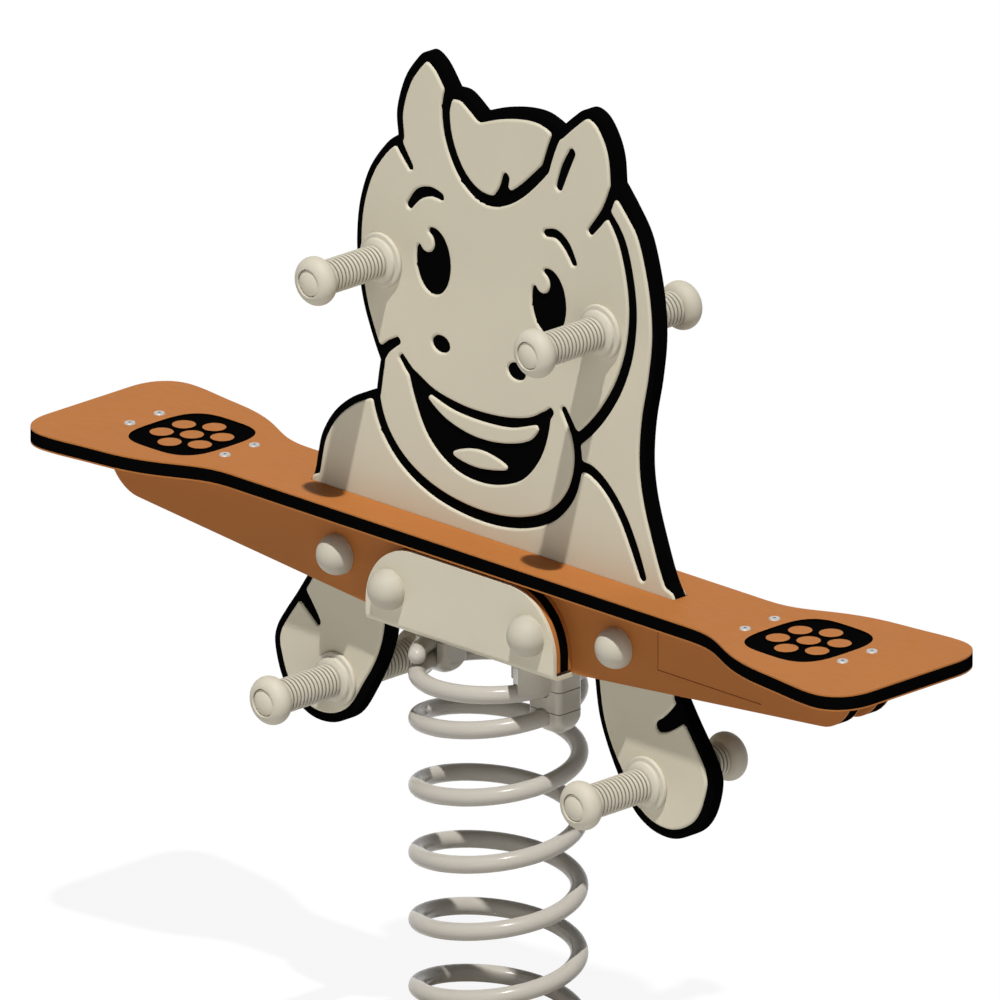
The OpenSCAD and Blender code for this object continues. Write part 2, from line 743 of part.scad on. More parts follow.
module beam_bolts() { through_bolts(beam_bolt_at, cheek_y); }
module saddle_bolts() { through_bolts(saddle_bolt_at, saddle_y); }
module beam_bolt_nuts() { through_nuts(beam_bolt_at, cheek_y); }
module saddle_bolt_nuts() { through_nuts(saddle_bolt_at, saddle_y); }
module beam_cover_discs() { cover_discs(beam_bolt_at, cheek_y); }
module saddle_cover_discs() { cover_discs(saddle_bolt_at, saddle_y); }
module beam_bolt_covers() { bolt_covers(beam_bolt_at, cheek_y); }
module saddle_bolt_covers() { bolt_covers(saddle_bolt_at, saddle_y); }

module bolt_washers() {
    color(steel) for (side = [-1, 1]) {
        for (p = beam_bolt_at) outward(side, p, cheek_y + cover_base) washer(washer_d, washer_t);
        for (p = saddle_bolt_at) outward(side, p, saddle_y + cover_base) washer(washer_d, washer_t);
    }
}

// Profile of a grip as [radius, distance from the panel]
rib_start = flange_t + step_t + 3;
rib_end = grip_l - ball_l;
rib_step = (rib_end - rib_start) / rib_count;
ball_r = ball_l / 2;
ball_mid = grip_l - ball_r;
ring_r = ball_d / 2 - ball_r;
ball_from = -acos((rib_d / 2 - ring_r) / ball_r);
ball_to = acos((recess_d / 2 + 0.5 - ring_r) / ball_r);
ball_steps = 14;
recess_floor = grip_l - recess_deep;
grip_profile = concat(
    [[hole_d / 2, 0], [flange_d / 2 - 1, 0], [flange_d / 2, 1], [flange_d / 2, flange_t - 2],
        [flange_d / 2 - 2, flange_t], [step_d / 2, flange_t], [step_d / 2, flange_t + step_t - 1],
        [step_d / 2 - 1, flange_t + step_t], [rib_d / 2 - rib_deep, rib_start]],
    [for (i = [0 : rib_count - 1], k = [[0.25, 0], [0.4, 1], [0.85, 1], [1, 0]])
        [rib_d / 2 - rib_deep * (1 - k[1]), rib_start + rib_step * (i + k[0])]],
    [for (i = [0 : ball_steps]) let (a = ball_from + (ball_to - ball_from) * i / ball_steps)
        [ring_r + ball_r * cos(a), ball_mid + ball_r * sin(a)]],
    [[recess_d / 2, grip_l], [recess_d / 2, recess_floor], [hole_d / 2, recess_floor]]);

module grip(side, at) {
    color(pale) outward(side, at, panel_y) rotate_extrude() polygon(grip_profile);
}

module front_left_handle() { grip(-1, handle_at[0]); }
module front_right_handle() { grip(-1, handle_at[1]); }
module rear_left_handle() { grip(1, handle_at[0]); }
module rear_right_handle() { grip(1, handle_at[1]); }
module front_left_foot_rest() { grip(-1, rest_at[0]); }
module front_right_foot_rest() { grip(-1, rest_at[1]); }
module rear_left_foot_rest() { grip(1, rest_at[0]); }
module rear_right_foot_rest() { grip(1, rest_at[1]); }

// Threaded rod that ties a front and a rear grip through the panel
module rods(places) {
    reach = panel_y + recess_floor + washer_t + nut_h + thread_end;
    color(steel) for (p = places) outward(1, p, -reach) cylinder(d = bolt_d, h = 2 * reach);
}

module rod_nuts(places) {
    color(steel) for (p = places, side = [-1, 1])
        outward(side, p, panel_y + recess_floor + washer_t) hex_nut(nut_h);
}

module rod_washers(places) {
    color(steel) for (p = places, side = [-1, 1])
        outward(side, p, panel_y + recess_floor) washer(washer_d, washer_t);
}

// Hollow plug that stands on the recess floor round the nut
module plugs(places) {
    r = recess_d / 2 - plug_gap;
    color(pale) for (p = places, side = [-1, 1]) outward(side, p, panel_y + recess_floor)
        rotate_extrude() difference() {
            union() {
                square([r, recess_deep - 4]);
                intersection() {
                    translate([0, recess_deep - 4]) circle(r);
                    square([r, recess_deep + 1]);
                }
            }
            square([r - plug_wall, washer_t + nut_h + thread_end + 1]);
        }
}

module handle_rods() { rods(handle_at); }
module foot_rest_rods() { rods(rest_at); }
module handle_rod_nuts() { rod_nuts(handle_at); }
module foot_rest_rod_nuts() { rod_nuts(rest_at); }
module handle_rod_washers() { rod_washers(handle_at); }
module foot_rest_rod_washers() { rod_washers(rest_at); }
module handle_plugs() { plugs(handle_at); }
module foot_rest_plugs() { plugs(rest_at); }

base_plate();
right_clamp_block();  // lower_right_clamp_block
right_clamp_middle();  // lower_right_clamp_middle
right_clamp_cap();  // lower_right_clamp_cap
left_clamp_block();  // lower_left_clamp_block
left_clamp_cap();  // lower_left_clamp_cap
lower_clamp_screws();
coil_spring();
at_top() right_clamp_block();  // upper_right_clamp_block
at_top() right_clamp_middle();  // upper_right_clamp_middle
at_top() right_clamp_cap();  // upper_right_clamp_cap
at_top() left_clamp_block();  // upper_left_clamp_block
at_top() left_clamp_cap();  // upper_left_clamp_cap
upper_clamp_screws();
upper_clamp_washers();
saddle_bracket();
cheek_spacer(-1);  // front_cheek_spacer
cheek_spacer(1);  // rear_cheek_spacer
beam_board(-1);  // front_beam_board
beam_board(1);  // rear_beam_board
pony_panel();
panel_shims();
seat_plank();
seat_screws();
beam_bolts();
beam_bolt_nuts();
saddle_bolts();
saddle_bolt_nuts();
bolt_washers();
beam_cover_discs();
saddle_cover_discs();
beam_bolt_covers();
saddle_bolt_covers();
front_left_handle();
front_right_handle();
rear_left_handle();
rear_right_handle();
front_left_foot_rest();
front_right_foot_rest();
rear_left_foot_rest();
rear_right_foot_rest();
handle_rods();
foot_rest_rods();
handle_rod_nuts();
foot_rest_rod_nuts();
handle_rod_washers();
foot_rest_rod_washers();
handle_plugs();
foot_rest_plugs();
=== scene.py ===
import math

import bmesh
import bpy
import numpy as np
from mathutils import Matrix, Vector, geometry


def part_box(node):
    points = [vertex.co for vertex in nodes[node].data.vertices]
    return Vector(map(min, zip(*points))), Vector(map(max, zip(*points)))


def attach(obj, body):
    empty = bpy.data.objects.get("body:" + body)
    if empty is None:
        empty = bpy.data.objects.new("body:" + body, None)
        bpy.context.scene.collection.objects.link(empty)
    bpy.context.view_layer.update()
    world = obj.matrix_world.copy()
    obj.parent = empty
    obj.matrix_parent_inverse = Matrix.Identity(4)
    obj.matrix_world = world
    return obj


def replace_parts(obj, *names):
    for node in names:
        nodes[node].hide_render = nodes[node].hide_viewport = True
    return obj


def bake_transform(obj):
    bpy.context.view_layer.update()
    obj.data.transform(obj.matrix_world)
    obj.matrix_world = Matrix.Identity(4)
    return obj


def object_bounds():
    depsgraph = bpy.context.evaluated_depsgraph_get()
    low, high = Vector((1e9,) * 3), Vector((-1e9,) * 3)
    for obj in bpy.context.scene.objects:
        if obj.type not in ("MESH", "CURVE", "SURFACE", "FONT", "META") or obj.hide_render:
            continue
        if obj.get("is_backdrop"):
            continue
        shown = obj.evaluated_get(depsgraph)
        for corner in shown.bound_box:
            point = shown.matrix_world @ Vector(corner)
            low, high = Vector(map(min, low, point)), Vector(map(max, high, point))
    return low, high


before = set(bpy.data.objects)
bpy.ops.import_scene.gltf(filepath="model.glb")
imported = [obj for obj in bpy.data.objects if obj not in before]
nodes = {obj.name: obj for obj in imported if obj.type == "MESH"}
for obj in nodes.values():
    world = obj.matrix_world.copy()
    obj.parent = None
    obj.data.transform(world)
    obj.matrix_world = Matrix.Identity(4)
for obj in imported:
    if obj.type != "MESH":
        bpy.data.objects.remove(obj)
for spare in ("Cube", "Light", "Camera"):  # a fresh Blender file brings these
    if spare in bpy.data.objects:
        bpy.data.objects.remove(bpy.data.objects[spare])
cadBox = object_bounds()
millimetre = 0.001
weldGap = 0.01 * millimetre  # corners closer than this become one
cutGap = 0.001 * millimetre
flatAngle = 0.5  # faces that bend less than this, in degrees, are one flat face
print("frame loaded,", len(nodes), "nodes")


# camera: a long lens far away, so the view is nearly parallel
photoView = {
    "azimuth": 45.0,
    "elevation": 19.47,
    "lens": 1600.0,
    "sensor": 35.0,
    "frameWidth": 1.105,  # metres of the object across the picture
    "aim": (0.0013, 0.0013, 0.6967),
    "clipEnd": 400.0,
}


def placeCamera(setup):
    turn = math.radians(setup["azimuth"])
    tilt = math.radians(setup["elevation"])
    away = Vector((math.cos(tilt) * math.sin(turn), -math.cos(tilt) * math.cos(turn), math.sin(tilt)))
    camera = bpy.data.cameras.new("photoCamera")
    camera.lens = setup["lens"]
    camera.sensor_width = setup["sensor"]
    camera.clip_end = setup["clipEnd"]
    holder = bpy.data.objects.new("photoCamera", camera)
    distance = setup["frameWidth"] * setup["lens"] / setup["sensor"]
    holder.location = Vector(setup["aim"]) + away * distance
    holder.rotation_euler = away.to_track_quat("Z", "Y").to_euler()
    bpy.context.scene.collection.objects.link(holder)
    bpy.context.scene.camera = holder


placeCamera(photoView)
bpy.context.scene.view_settings.view_transform = "Standard"
print("camera placed")


# materials
def startMaterial(name, roughness, specular=0.5):
    material = bpy.data.materials.new(name)
    material.use_nodes = True
    tree = material.node_tree
    shader = tree.nodes["Principled BSDF"]
    shader.inputs["Roughness"].default_value = roughness
    shader.inputs["Specular IOR Level"].default_value = specular
    place = tree.nodes.new("ShaderNodeTexCoord")
    return material, tree, shader, place.outputs["Object"]


def addNoise(tree, place, scale, detail, stretch=None):
    if stretch:
        mapping = tree.nodes.new("ShaderNodeMapping")
        mapping.inputs["Scale"].default_value = stretch
        tree.links.new(place, mapping.inputs["Vector"])
        place = mapping.outputs["Vector"]
    noise = tree.nodes.new("ShaderNodeTexNoise")
    noise.inputs["Scale"].default_value = scale
    noise.inputs["Detail"].default_value = detail
    tree.links.new(place, noise.inputs["Vector"])
    return noise.outputs["Fac"]


def addRange(tree, value, fromLow, fromHigh, toLow, toHigh):
    spread = tree.nodes.new("ShaderNodeMapRange")
    for slot, number in zip((1, 2, 3, 4), (fromLow, fromHigh, toLow, toHigh)):
        spread.inputs[slot].default_value = number
    tree.links.new(value, spread.inputs[0])
    return spread.outputs[0]


def addMix(tree, factor, first, second):
    mix = tree.nodes.new("ShaderNodeMix")
    mix.data_type = "RGBA"
    for slot, value in ((0, factor), (6, first), (7, second)):
        if isinstance(value, bpy.types.NodeSocket):
            tree.links.new(value, mix.inputs[slot])
        elif isinstance(value, tuple):
            mix.inputs[slot].default_value = (*value, 1)
        else:
            mix.inputs[slot].default_value = value
    return mix.outputs[2]


def scaled(colour, share):
    return tuple(min(1.0, channel * share) for channel in colour)


def addBump(tree, shader, height, strength, depth):
    bump = tree.nodes.new("ShaderNodeBump")
    bump.inputs["Strength"].default_value = strength
    bump.inputs["Distance"].default_value = depth
    tree.links.new(height, bump.inputs["Height"])
    tree.links.new(bump.outputs["Normal"], shader.inputs["Normal"])


# how sharp an edge or a hollow has to be for wear on the edge, or painted shade in the hollow, to start and
# to be full
edgeLook = {
    "worn": (0.52, 0.62),
    "wornShade": 1.25,
    "grime": (0.40, 0.495),
    "hollowShadeTone": 0.35,
}
# the part of a noise that is stretched over the whole range
wideSpread = (0.3, 0.7)
narrowSpread = (0.35, 0.65)
speckSpread = (0.62, 0.72)


def addWornEdge(tree, colour, base, amount):
    curvature = tree.nodes.new("ShaderNodeNewGeometry").outputs["Pointiness"]
    worn = addRange(tree, curvature, *edgeLook["worn"], 0.0, amount)
    return addMix(tree, worn, base, scaled(colour, edgeLook["wornShade"]))


# painted shade: darkens the colour in hollows, where shade falls
def addHollowShade(tree, colour, base, amount):
    curvature = tree.nodes.new("ShaderNodeNewGeometry").outputs["Pointiness"]
    shadedHollow = addRange(tree, curvature, *edgeLook["grime"], amount, 0.0)
    return addMix(tree, shadedHollow, base, scaled(colour, edgeLook["hollowShadeTone"]))


# coloured plastic sheet: slow mottling, dark specks, fine grain, brushed scratches, pale worn edges
def sheetPlastic(name, look):
    material, tree, shader, place = startMaterial(name, look["roughness"], look["specular"])
    colour = look["colour"]
    cloud = addRange(tree, addNoise(tree, place, look["cloudScale"], 4), *wideSpread, 0.0, 1.0)
    base = addMix(tree, cloud, scaled(colour, 1 - look["cloud"]), scaled(colour, 1 + look["cloud"]))
    speck = addRange(tree, addNoise(tree, place, look["speckScale"], 1), *speckSpread, 0.0, look["speck"])
    base = addMix(tree, speck, base, scaled(colour, look["speckShade"]))
    tree.links.new(addWornEdge(tree, colour, base, look["worn"]), shader.inputs["Base Color"])
    scratch = addNoise(tree, place, look["scratchScale"], 3, look["scratchStretch"])
    low, high = look["roughness"] - look["scratch"], look["roughness"] + look["scratch"]
    tree.links.new(addRange(tree, scratch, *narrowSpread, low, high), shader.inputs["Roughness"])
    addBump(tree, shader, addNoise(tree, place, look["grainScale"], 2), look["grain"], look["grainDeep"])
    return material


# powder coat or moulded plastic: orange-peel skin over one colour, with painted shade darkening its hollows
def coatedFinish(name, look):
    material, tree, shader, place = startMaterial(name, look["roughness"], look["specular"])
    colour = look["colour"]
    cloud = addRange(tree, addNoise(tree, place, look["cloudScale"], 3), *wideSpread, 0.0, 1.0)
    base = addMix(tree, cloud, scaled(colour, 1 - look["cloud"]), scaled(colour, 1 + look["cloud"]))
    # painted shade in the hollows
    if look["grime"]:
        base = addHollowShade(tree, colour, base, look["grime"])
    tree.links.new(addWornEdge(tree, colour, base, look["worn"]), shader.inputs["Base Color"])
    smear = addNoise(tree, place, look["smearScale"], 3)
    low, high = look["roughness"] - look["smear"], look["roughness"] + look["smear"]
    tree.links.new(addRange(tree, smear, *narrowSpread, low, high), shader.inputs["Roughness"])
    addBump(tree, shader, addNoise(tree, place, look["peelScale"], 1), look["peel"], look["peelDeep"])
    shader.inputs["Coat Weight"].default_value = look["coat"]
    shader.inputs["Coat Roughness"].default_value = look["coatRoughness"]
    return material


# zinc plate: spangle of brighter and duller grains
def zincFinish(name, look):
    material, tree, shader, place = startMaterial(name, look["roughness"])
    shader.inputs["Metallic"].default_value = look["metallic"]
    spangle = tree.nodes.new("ShaderNodeTexVoronoi")
    spangle.inputs["Scale"].default_value = look["spangleScale"]
    tree.links.new(place, spangle.inputs["Vector"])
    shade = addRange(tree, spangle.outputs["Color"], 0.0, 1.0, 0.0, 1.0)
    base = addMix(tree, shade, scaled(look["colour"], look["dull"]), scaled(look["colour"], look["bright"]))
    tree.links.new(addWornEdge(tree, look["colour"], base, look["worn"]), shader.inputs["Base Color"])
    turned = addNoise(tree, place, look["turnedScale"], 2)
    tree.links.new(addRange(tree, turned, *wideSpread, *look["turned"]), shader.inputs["Roughness"])
    addBump(tree, shader, turned, look["grain"], look["grainDeep"])
    return material


sheetLook = {
    "roughness": 0.58,
    "specular": 0.12,
    "cloud": 0.02,  # mottling
    "cloudScale": 9.0,
    "speck": 0.1,
    "speckScale": 900.0,
    "speckShade": 0.7,
    "worn": 0.25,
    "scratch": 0.07,  # change of the roughness along a scratch
    "scratchScale": 40.0,
    "scratchStretch": (1.0, 14.0, 14.0),
    "grain": 0.12,
    "grainScale": 1400.0,
    "grainDeep": 0.0003,
}
sandColour = (0.60, 0.55, 0.425)
sandSkin = sheetPlastic("sandSkin", {**sheetLook, "colour": sandColour})
orangeSkin = sheetPlastic("orangeSkin", {**sheetLook, "colour": (0.393, 0.142, 0.034)})
coreLook = {**sheetLook, "roughness": 0.65, "specular": 0.0, "worn": 0.0}
blackCore = sheetPlastic("blackCore", {**coreLook, "colour": (0.002, 0.002, 0.002)})

coatLook = {
    "roughness": 0.4,
    "specular": 0.4,
    "cloud": 0.02,
    "cloudScale": 12.0,
    "worn": 0.2,
    "grime": 0.0,
    "smear": 0.06,  # change of the roughness
    "smearScale": 30.0,
    "peel": 0.12,
    "peelScale": 600.0,
    "peelDeep": 0.0004,
    "coat": 0.0,
    "coatRoughness": 0.08,
}
gripColour = (0.545, 0.505, 0.41)
# the grips get painted shade in their hollows
gripLook = {**coatLook, "roughness": 0.55, "specular": 0.2, "grime": 0.4}
paleGrip = coatedFinish("paleGrip", {**gripLook, "colour": gripColour})
gripRib = coatedFinish("gripRib", {**gripLook, "colour": scaled(gripColour, 0.98)})
# the furrows between the ribs: a darker copy of the grip colour, painted shade
gripFurrowShade = coatedFinish("gripFurrowShade", {**gripLook, "colour": scaled(gripColour, 0.47), "worn": 0.0})
# the plugs sit in a recess: a lighter copy of the grip colour, painted light
plugPaintedLight = coatedFinish("plugPaintedLight", {**gripLook, "colour": scaled(gripColour, 1.1), "grime": 0.0})
coverPlastic = coatedFinish("coverPlastic", {**gripLook, "colour": scaled(gripColour, 0.87)})
saddleCoat = coatedFinish("saddleCoat", {**coatLook, "colour": sandColour, "roughness": 0.45})
springLook = {**coatLook, "roughness": 0.2, "specular": 0.15, "cloud": 0.01, "smear": 0.03,
              "peel": 0.03, "peelScale": 250.0}
springCoat = coatedFinish("springCoat", {**springLook, "colour": (0.43, 0.40, 0.35)})
clampLook = {**coatLook, "roughness": 0.22, "specular": 0.3, "coat": 0.25, "peel": 0.05}
clampCoat = coatedFinish("clampCoat", {**clampLook, "colour": (0.45, 0.415, 0.35)})

zincLook = {
    "colour": (0.47, 0.46, 0.44),
    "roughness": 0.4,
    "metallic": 0.85,
    "spangleScale": 260.0,
    "dull": 0.86,  # shades of the grains
    "bright": 1.08,
    "turned": (0.28, 0.45),  # roughness across the turning marks
    "turnedScale": 500.0,
    "worn": 0.4,
    "grain": 0.1,
    "grainDeep": 0.0002,
}
zincPlate = zincFinish("zincPlate", zincLook)
print("materials made")


# shared helpers
def finishPiece(bm, name, materials, body, sharp=35.0):
    for face in bm.faces:
        face.smooth = True
    for edge in bm.edges:
        edge.smooth = edge.calc_face_angle(0.0) < math.radians(sharp)
    mesh = bpy.data.meshes.new(name)
    bm.to_mesh(mesh)
    bm.free()
    for material in materials:
        mesh.materials.append(material)
    piece = bpy.data.objects.new(name, mesh)
    bpy.context.scene.collection.objects.link(piece)
    if body:
        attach(piece, body)
    return piece


def evenNormals(piece):
    # flat faces stay flat beside their rounded rims
    weighted = piece.modifiers.new("normals", "WEIGHTED_NORMAL")
    weighted.keep_sharp = True
    weighted.weight = 80
    return piece


def copyNode(name):
    mesh = nodes[name].data.copy()
    for layer in ("custom_normal", "sharp_edge", "sharp_face"):
        if layer in mesh.attributes:
            mesh.attributes.remove(mesh.attributes[layer])
    bm = bmesh.new()
    bm.from_mesh(mesh)
    bpy.data.meshes.remove(mesh)
    bmesh.ops.remove_doubles(bm, verts=bm.verts[:], dist=weldGap)
    return bm


def cutAcross(bm, axis, level):
    direction = Vector([1.0 if i == axis else 0.0 for i in range(3)])
    everything = bm.verts[:] + bm.edges[:] + bm.faces[:]
    bmesh.ops.bisect_plane(bm, geom=everything, dist=cutGap, plane_co=direction * level, plane_no=direction)


def roundRims(bm, sharp, width, segments):
    # joins the flat faces first, then rounds the outer edges that are sharper than this
    bmesh.ops.dissolve_limit(bm, angle_limit=math.radians(flatAngle), verts=bm.verts[:], edges=bm.edges[:])
    limit = math.radians(sharp)
    rims = [edge for edge in bm.edges if edge.is_convex and edge.calc_face_angle(0.0) > limit]
    bmesh.ops.bevel(bm, geom=rims, offset=width, offset_type="OFFSET", affect="EDGES", segments=segments,
                    profile=0.5, clamp_overlap=True, material=-1)


def paintNode(name, material):
    nodes[name].data.materials.clear()
    nodes[name].data.materials.append(material)


# floor and light
studio = {
    "floorSize": 30.0,
    "keyFrom": (0.248, -0.284, 0.925),
    "keyStrength": 1.15 * math.pi,
    "keyAngle": 1.2,
    "fillFrom": (0.42, -0.90, 0.10),
    "fillStrength": 0.285 * math.pi,
    "fillAngle": 40.0,
    "backFrom": (-0.42, 0.90, -0.08),
    "backStrength": 0.45 * math.pi,
    "sky": 0.02,
    "floorBounce": 0.7,  # the floor's colour for light that it throws back
    "floorSeen": 0.9,
    "floorShadow": 0.08,  # share of the floor's white that can darken
}


def addSun(name, source, strength, angle):
    lamp = bpy.data.lights.new(name, "SUN")
    lamp.energy = strength
    lamp.angle = math.radians(angle)
    holder = bpy.data.objects.new(name, lamp)
    holder.rotation_euler = Vector(source).to_track_quat("Z", "Y").to_euler()
    bpy.context.scene.collection.objects.link(holder)
    return holder


def addSeenRays(tree):
    paths = tree.nodes.new("ShaderNodeLightPath")
    seen = paths.outputs["Is Camera Ray"]
    for other in ("Is Glossy Ray", "Is Transmission Ray"):
        either = tree.nodes.new("ShaderNodeMath")
        either.operation = "MAXIMUM"
        tree.links.new(seen, either.inputs[0])
        tree.links.new(paths.outputs[other], either.inputs[1])
        seen = either.outputs[0]
    return seen


def makeStudio(setup):
    addSun("keyLight", setup["keyFrom"], setup["keyStrength"], setup["keyAngle"])
    addSun("fillLight", setup["fillFrom"], setup["fillStrength"], setup["fillAngle"])
    back = addSun("backLight", setup["backFrom"], setup["backStrength"], setup["fillAngle"])
    back.visible_glossy = False  # no sheen of it on the plank
    world = bpy.data.worlds.new("studioSky")
    world.use_nodes = True
    bpy.context.scene.world = world
    tree = world.node_tree
    sky = tree.nodes["Background"]
    sky.inputs["Color"].default_value = (1, 1, 1, 1)
    sky.inputs["Strength"].default_value = setup["sky"]
    white = tree.nodes.new("ShaderNodeBackground")
    white.inputs["Color"].default_value = (1, 1, 1, 1)
    mix = tree.nodes.new("ShaderNodeMixShader")
    tree.links.new(addSeenRays(tree), mix.inputs[0])
    tree.links.new(sky.outputs[0], mix.inputs[1])
    tree.links.new(white.outputs[0], mix.inputs[2])
    tree.links.new(mix.outputs[0], tree.nodes["World Output"].inputs["Surface"])

    bm = bmesh.new()
    bmesh.ops.create_grid(bm, x_segments=2, y_segments=2, size=setup["floorSize"] / 2)
    mesh = bpy.data.meshes.new("floor")
    bm.to_mesh(mesh)
    bm.free()
    floor = bpy.data.objects.new("floor", mesh)
    bpy.context.scene.collection.objects.link(floor)
    paper = bpy.data.materials.new("floorPaper")
    paper.use_nodes = True
    tree = paper.node_tree
    tree.nodes.remove(tree.nodes["Principled BSDF"])
    matt, pale = (tree.nodes.new("ShaderNodeBsdfDiffuse") for _ in range(2))
    matt.inputs["Color"].default_value = (*[setup["floorBounce"]] * 3, 1)
    pale.inputs["Color"].default_value = (*[setup["floorSeen"]] * 3, 1)
    glow = tree.nodes.new("ShaderNodeEmission")
    glow.inputs["Strength"].default_value = 1.0
    shadowed = tree.nodes.new("ShaderNodeMixShader")
    shadowed.inputs[0].default_value = setup["floorShadow"]
    tree.links.new(glow.outputs[0], shadowed.inputs[1])
    tree.links.new(pale.outputs[0], shadowed.inputs[2])
    seen = tree.nodes.new("ShaderNodeMixShader")
    tree.links.new(addSeenRays(tree), seen.inputs[0])
    tree.links.new(matt.outputs[0], seen.inputs[1])
    tree.links.new(shadowed.outputs[0], seen.inputs[2])
    tree.links.new(seen.outputs[0], tree.nodes["Material Output"].inputs["Surface"])
    mesh.materials.append(paper)
    floor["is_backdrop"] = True


makeStudio(studio)
print("studio made")


# plank, boards and cheeks: coloured skins on a black core, with rounded rims
def inPad(spot, pad):
    if not pad:
        return False
    along = abs(abs(spot.x) - pad["middle"])
    return along < pad["length"] / 2 and abs(spot.y) < pad["width"] / 2


def layeredSheet(name, node, axis, setup):
    bm = copyNode(node)
    roundRims(bm, setup["rim"], setup["round"], setup["segments"])
    low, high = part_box(node)
    for level in (low[axis] + setup["skin"], high[axis] - setup["skin"]):
        cutAcross(bm, axis, level)
    inside = setup["skin"] - weldGap
    for face in bm.faces:
        middle = face.calc_center_median()
        deep = low[axis] + inside < middle[axis] < high[axis] - inside
        cut = inPad(middle, setup["pad"]) and abs(face.normal.z) < 0.5
        face.material_index = 1 if deep or cut else 0
    piece = finishPiece(bm, name, [orangeSkin, blackCore], "rider", 40.0)
    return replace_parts(evenNormals(piece), node)


sheetSetup = {
    "skin": 2.0 * millimetre,
    "rim": 50.0,  # edges sharper than this are rounded
    "round": 0.8 * millimetre,
    "segments": 3,
    "pad": None,
}
# the walls of the plank's sunk pads show the core
seatPad = {"middle": 482 * millimetre, "length": 120 * millimetre, "width": 132 * millimetre}
cheekSetup = {**sheetSetup, "skin": 5.5 * millimetre}
layeredSheet("seatPlank", "seat_plank", 2, {**sheetSetup, "pad": seatPad})
layeredSheet("frontBeamBoard", "front_beam_board", 1, sheetSetup)
layeredSheet("rearBeamBoard", "rear_beam_board", 1, sheetSetup)
layeredSheet("frontCheek", "front_cheek_spacer", 1, cheekSetup)
layeredSheet("rearCheek", "rear_cheek_spacer", 1, cheekSetup)
print("plank, boards and cheeks made")


# pony panel: black core with routed sand-coloured skins on both faces
panelSetup = {
    "core": 16.0,  # thickness between the skins
    "skin": 2.8,
    "sink": 0.3,  # how far the skin reaches into the core
    "levels": (0.0, 0.12, 0.36, 0.68, 1.0, 1.25),  # rings of the rounded rim, as shares of the skin
    "border": 8.0,  # black rim along the outline
    "wideBorder": 2.5,  # added to it at the ears and hooves
    "earsFrom": 410.0,
    "hoovesFrom": -190.0,
    "widenOver": 30.0,
    "corner": 3.2,  # radius of the skin's corners
    "footLow": -100.0,  # between these heights the skin runs out to the outline, inside the plank
    "footHigh": 3.0,
    "footRamp": 4.0,
    "step": 1.5,  # spacing of the drawing's grid
    "margin": 6.0,  # of the grid round the outline
    "reach": 30.0,  # distances are followed up to this
    "lineSteps": 6,  # between two points of a line
    "turn": 8.0,  # a contour point is kept after this turn or length
    "length": 8.0,
}
# routed lines as (x, height above the seat, width)
panelLines = [
    [(-156, 442, 13), (-143, 423, 12), (-128, 404, 9)],  # left ear's root
    [(-66, 510, 16), (-73, 484, 13), (-68, 450, 13), (-51, 418, 13), (-28, 399, 13), (-3, 394, 13),
     (22, 402, 13), (45, 417, 13), (65, 435, 13), (82, 452, 12)],  # forelock
    [(6, 396, 13), (16, 411, 12), (21, 427, 11)],  # parting of the forelock
    [(106, 508, 13), (93, 482, 12), (82, 452, 12)],  # right ear's inner edge
    [(124, 481, 10), (113, 460, 12), (104, 437, 10)],  # fold in the right ear
    [(192, 464, 12), (176, 426, 12), (153, 397, 9)],  # right ear's root
    [(177, 428, 9), (199, 400, 13), (212, 362, 13), (218, 318, 13), (213, 272, 13), (198, 230, 13),
     (176, 194, 13), (153, 167, 13), (132, 148, 12)],  # cheek against the mane
    [(-148, 195, 9), (-168, 180, 12), (-181, 153, 13), (-182, 122, 13), (-168, 86, 13), (-138, 55, 13),
     (-95, 34, 13), (-46, 24, 13), (6, 23, 13), (54, 32, 13), (94, 51, 13), (122, 82, 13), (133, 118, 13),
     (129, 150, 12), (112, 178, 9)],  # muzzle
    [(134, 119, 11), (156, 117, 13), (181, 101, 13), (204, 74, 13), (221, 43, 13), (234, 14, 11)],  # shoulder
    [(-129, 359, 9), (-115, 375, 12), (-96, 382, 11), (-80, 380, 9)],  # left brow
    [(84, 378, 9), (100, 380, 11), (115, 371, 12), (127, 354, 9)],  # right brow
    [(-141, 177, 9), (-128, 164, 11), (-118, 158, 11)],  # corners of the mouth
    [(91, 171, 9), (85, 165, 11), (76, 160, 11)],
    [(-330, -112, 30), (-303, -136, 20), (-283, -156, 13), (-274, -166, 9)],  # fetlocks
    [(312, -112, 30), (290, -134, 22), (272, -149, 17), (262, -154, 14)],
]
# black shapes as (x, height, half width, half height)
panelOvals = [(-92, 302, 27, 39), (88, 298, 27, 39), (-80, 208, 14, 10), (38, 205, 14, 10)]
mouthShape = [(-130, 167), (-90, 152), (-50, 145), (-18, 144), (20, 147), (55, 155), (88, 169), (86, 140),
              (72, 108), (46, 80), (10, 65), (-25, 61), (-60, 67), (-93, 87), (-115, 118)]
# pale shapes on the black ones
toothShape = [(-107, 147), (-65, 136), (-18, 133), (30, 137), (71, 150), (62, 132), (36, 120), (-2, 113),
              (-40, 114), (-78, 125)]
tongueShape = [(-64, 85), (-42, 95), (-15, 99), (14, 94), (25, 87), (6, 81), (-23, 77), (-48, 79)]
glintOvals = [(-102, 322, 11, 12), (78, 318, 11, 12)]


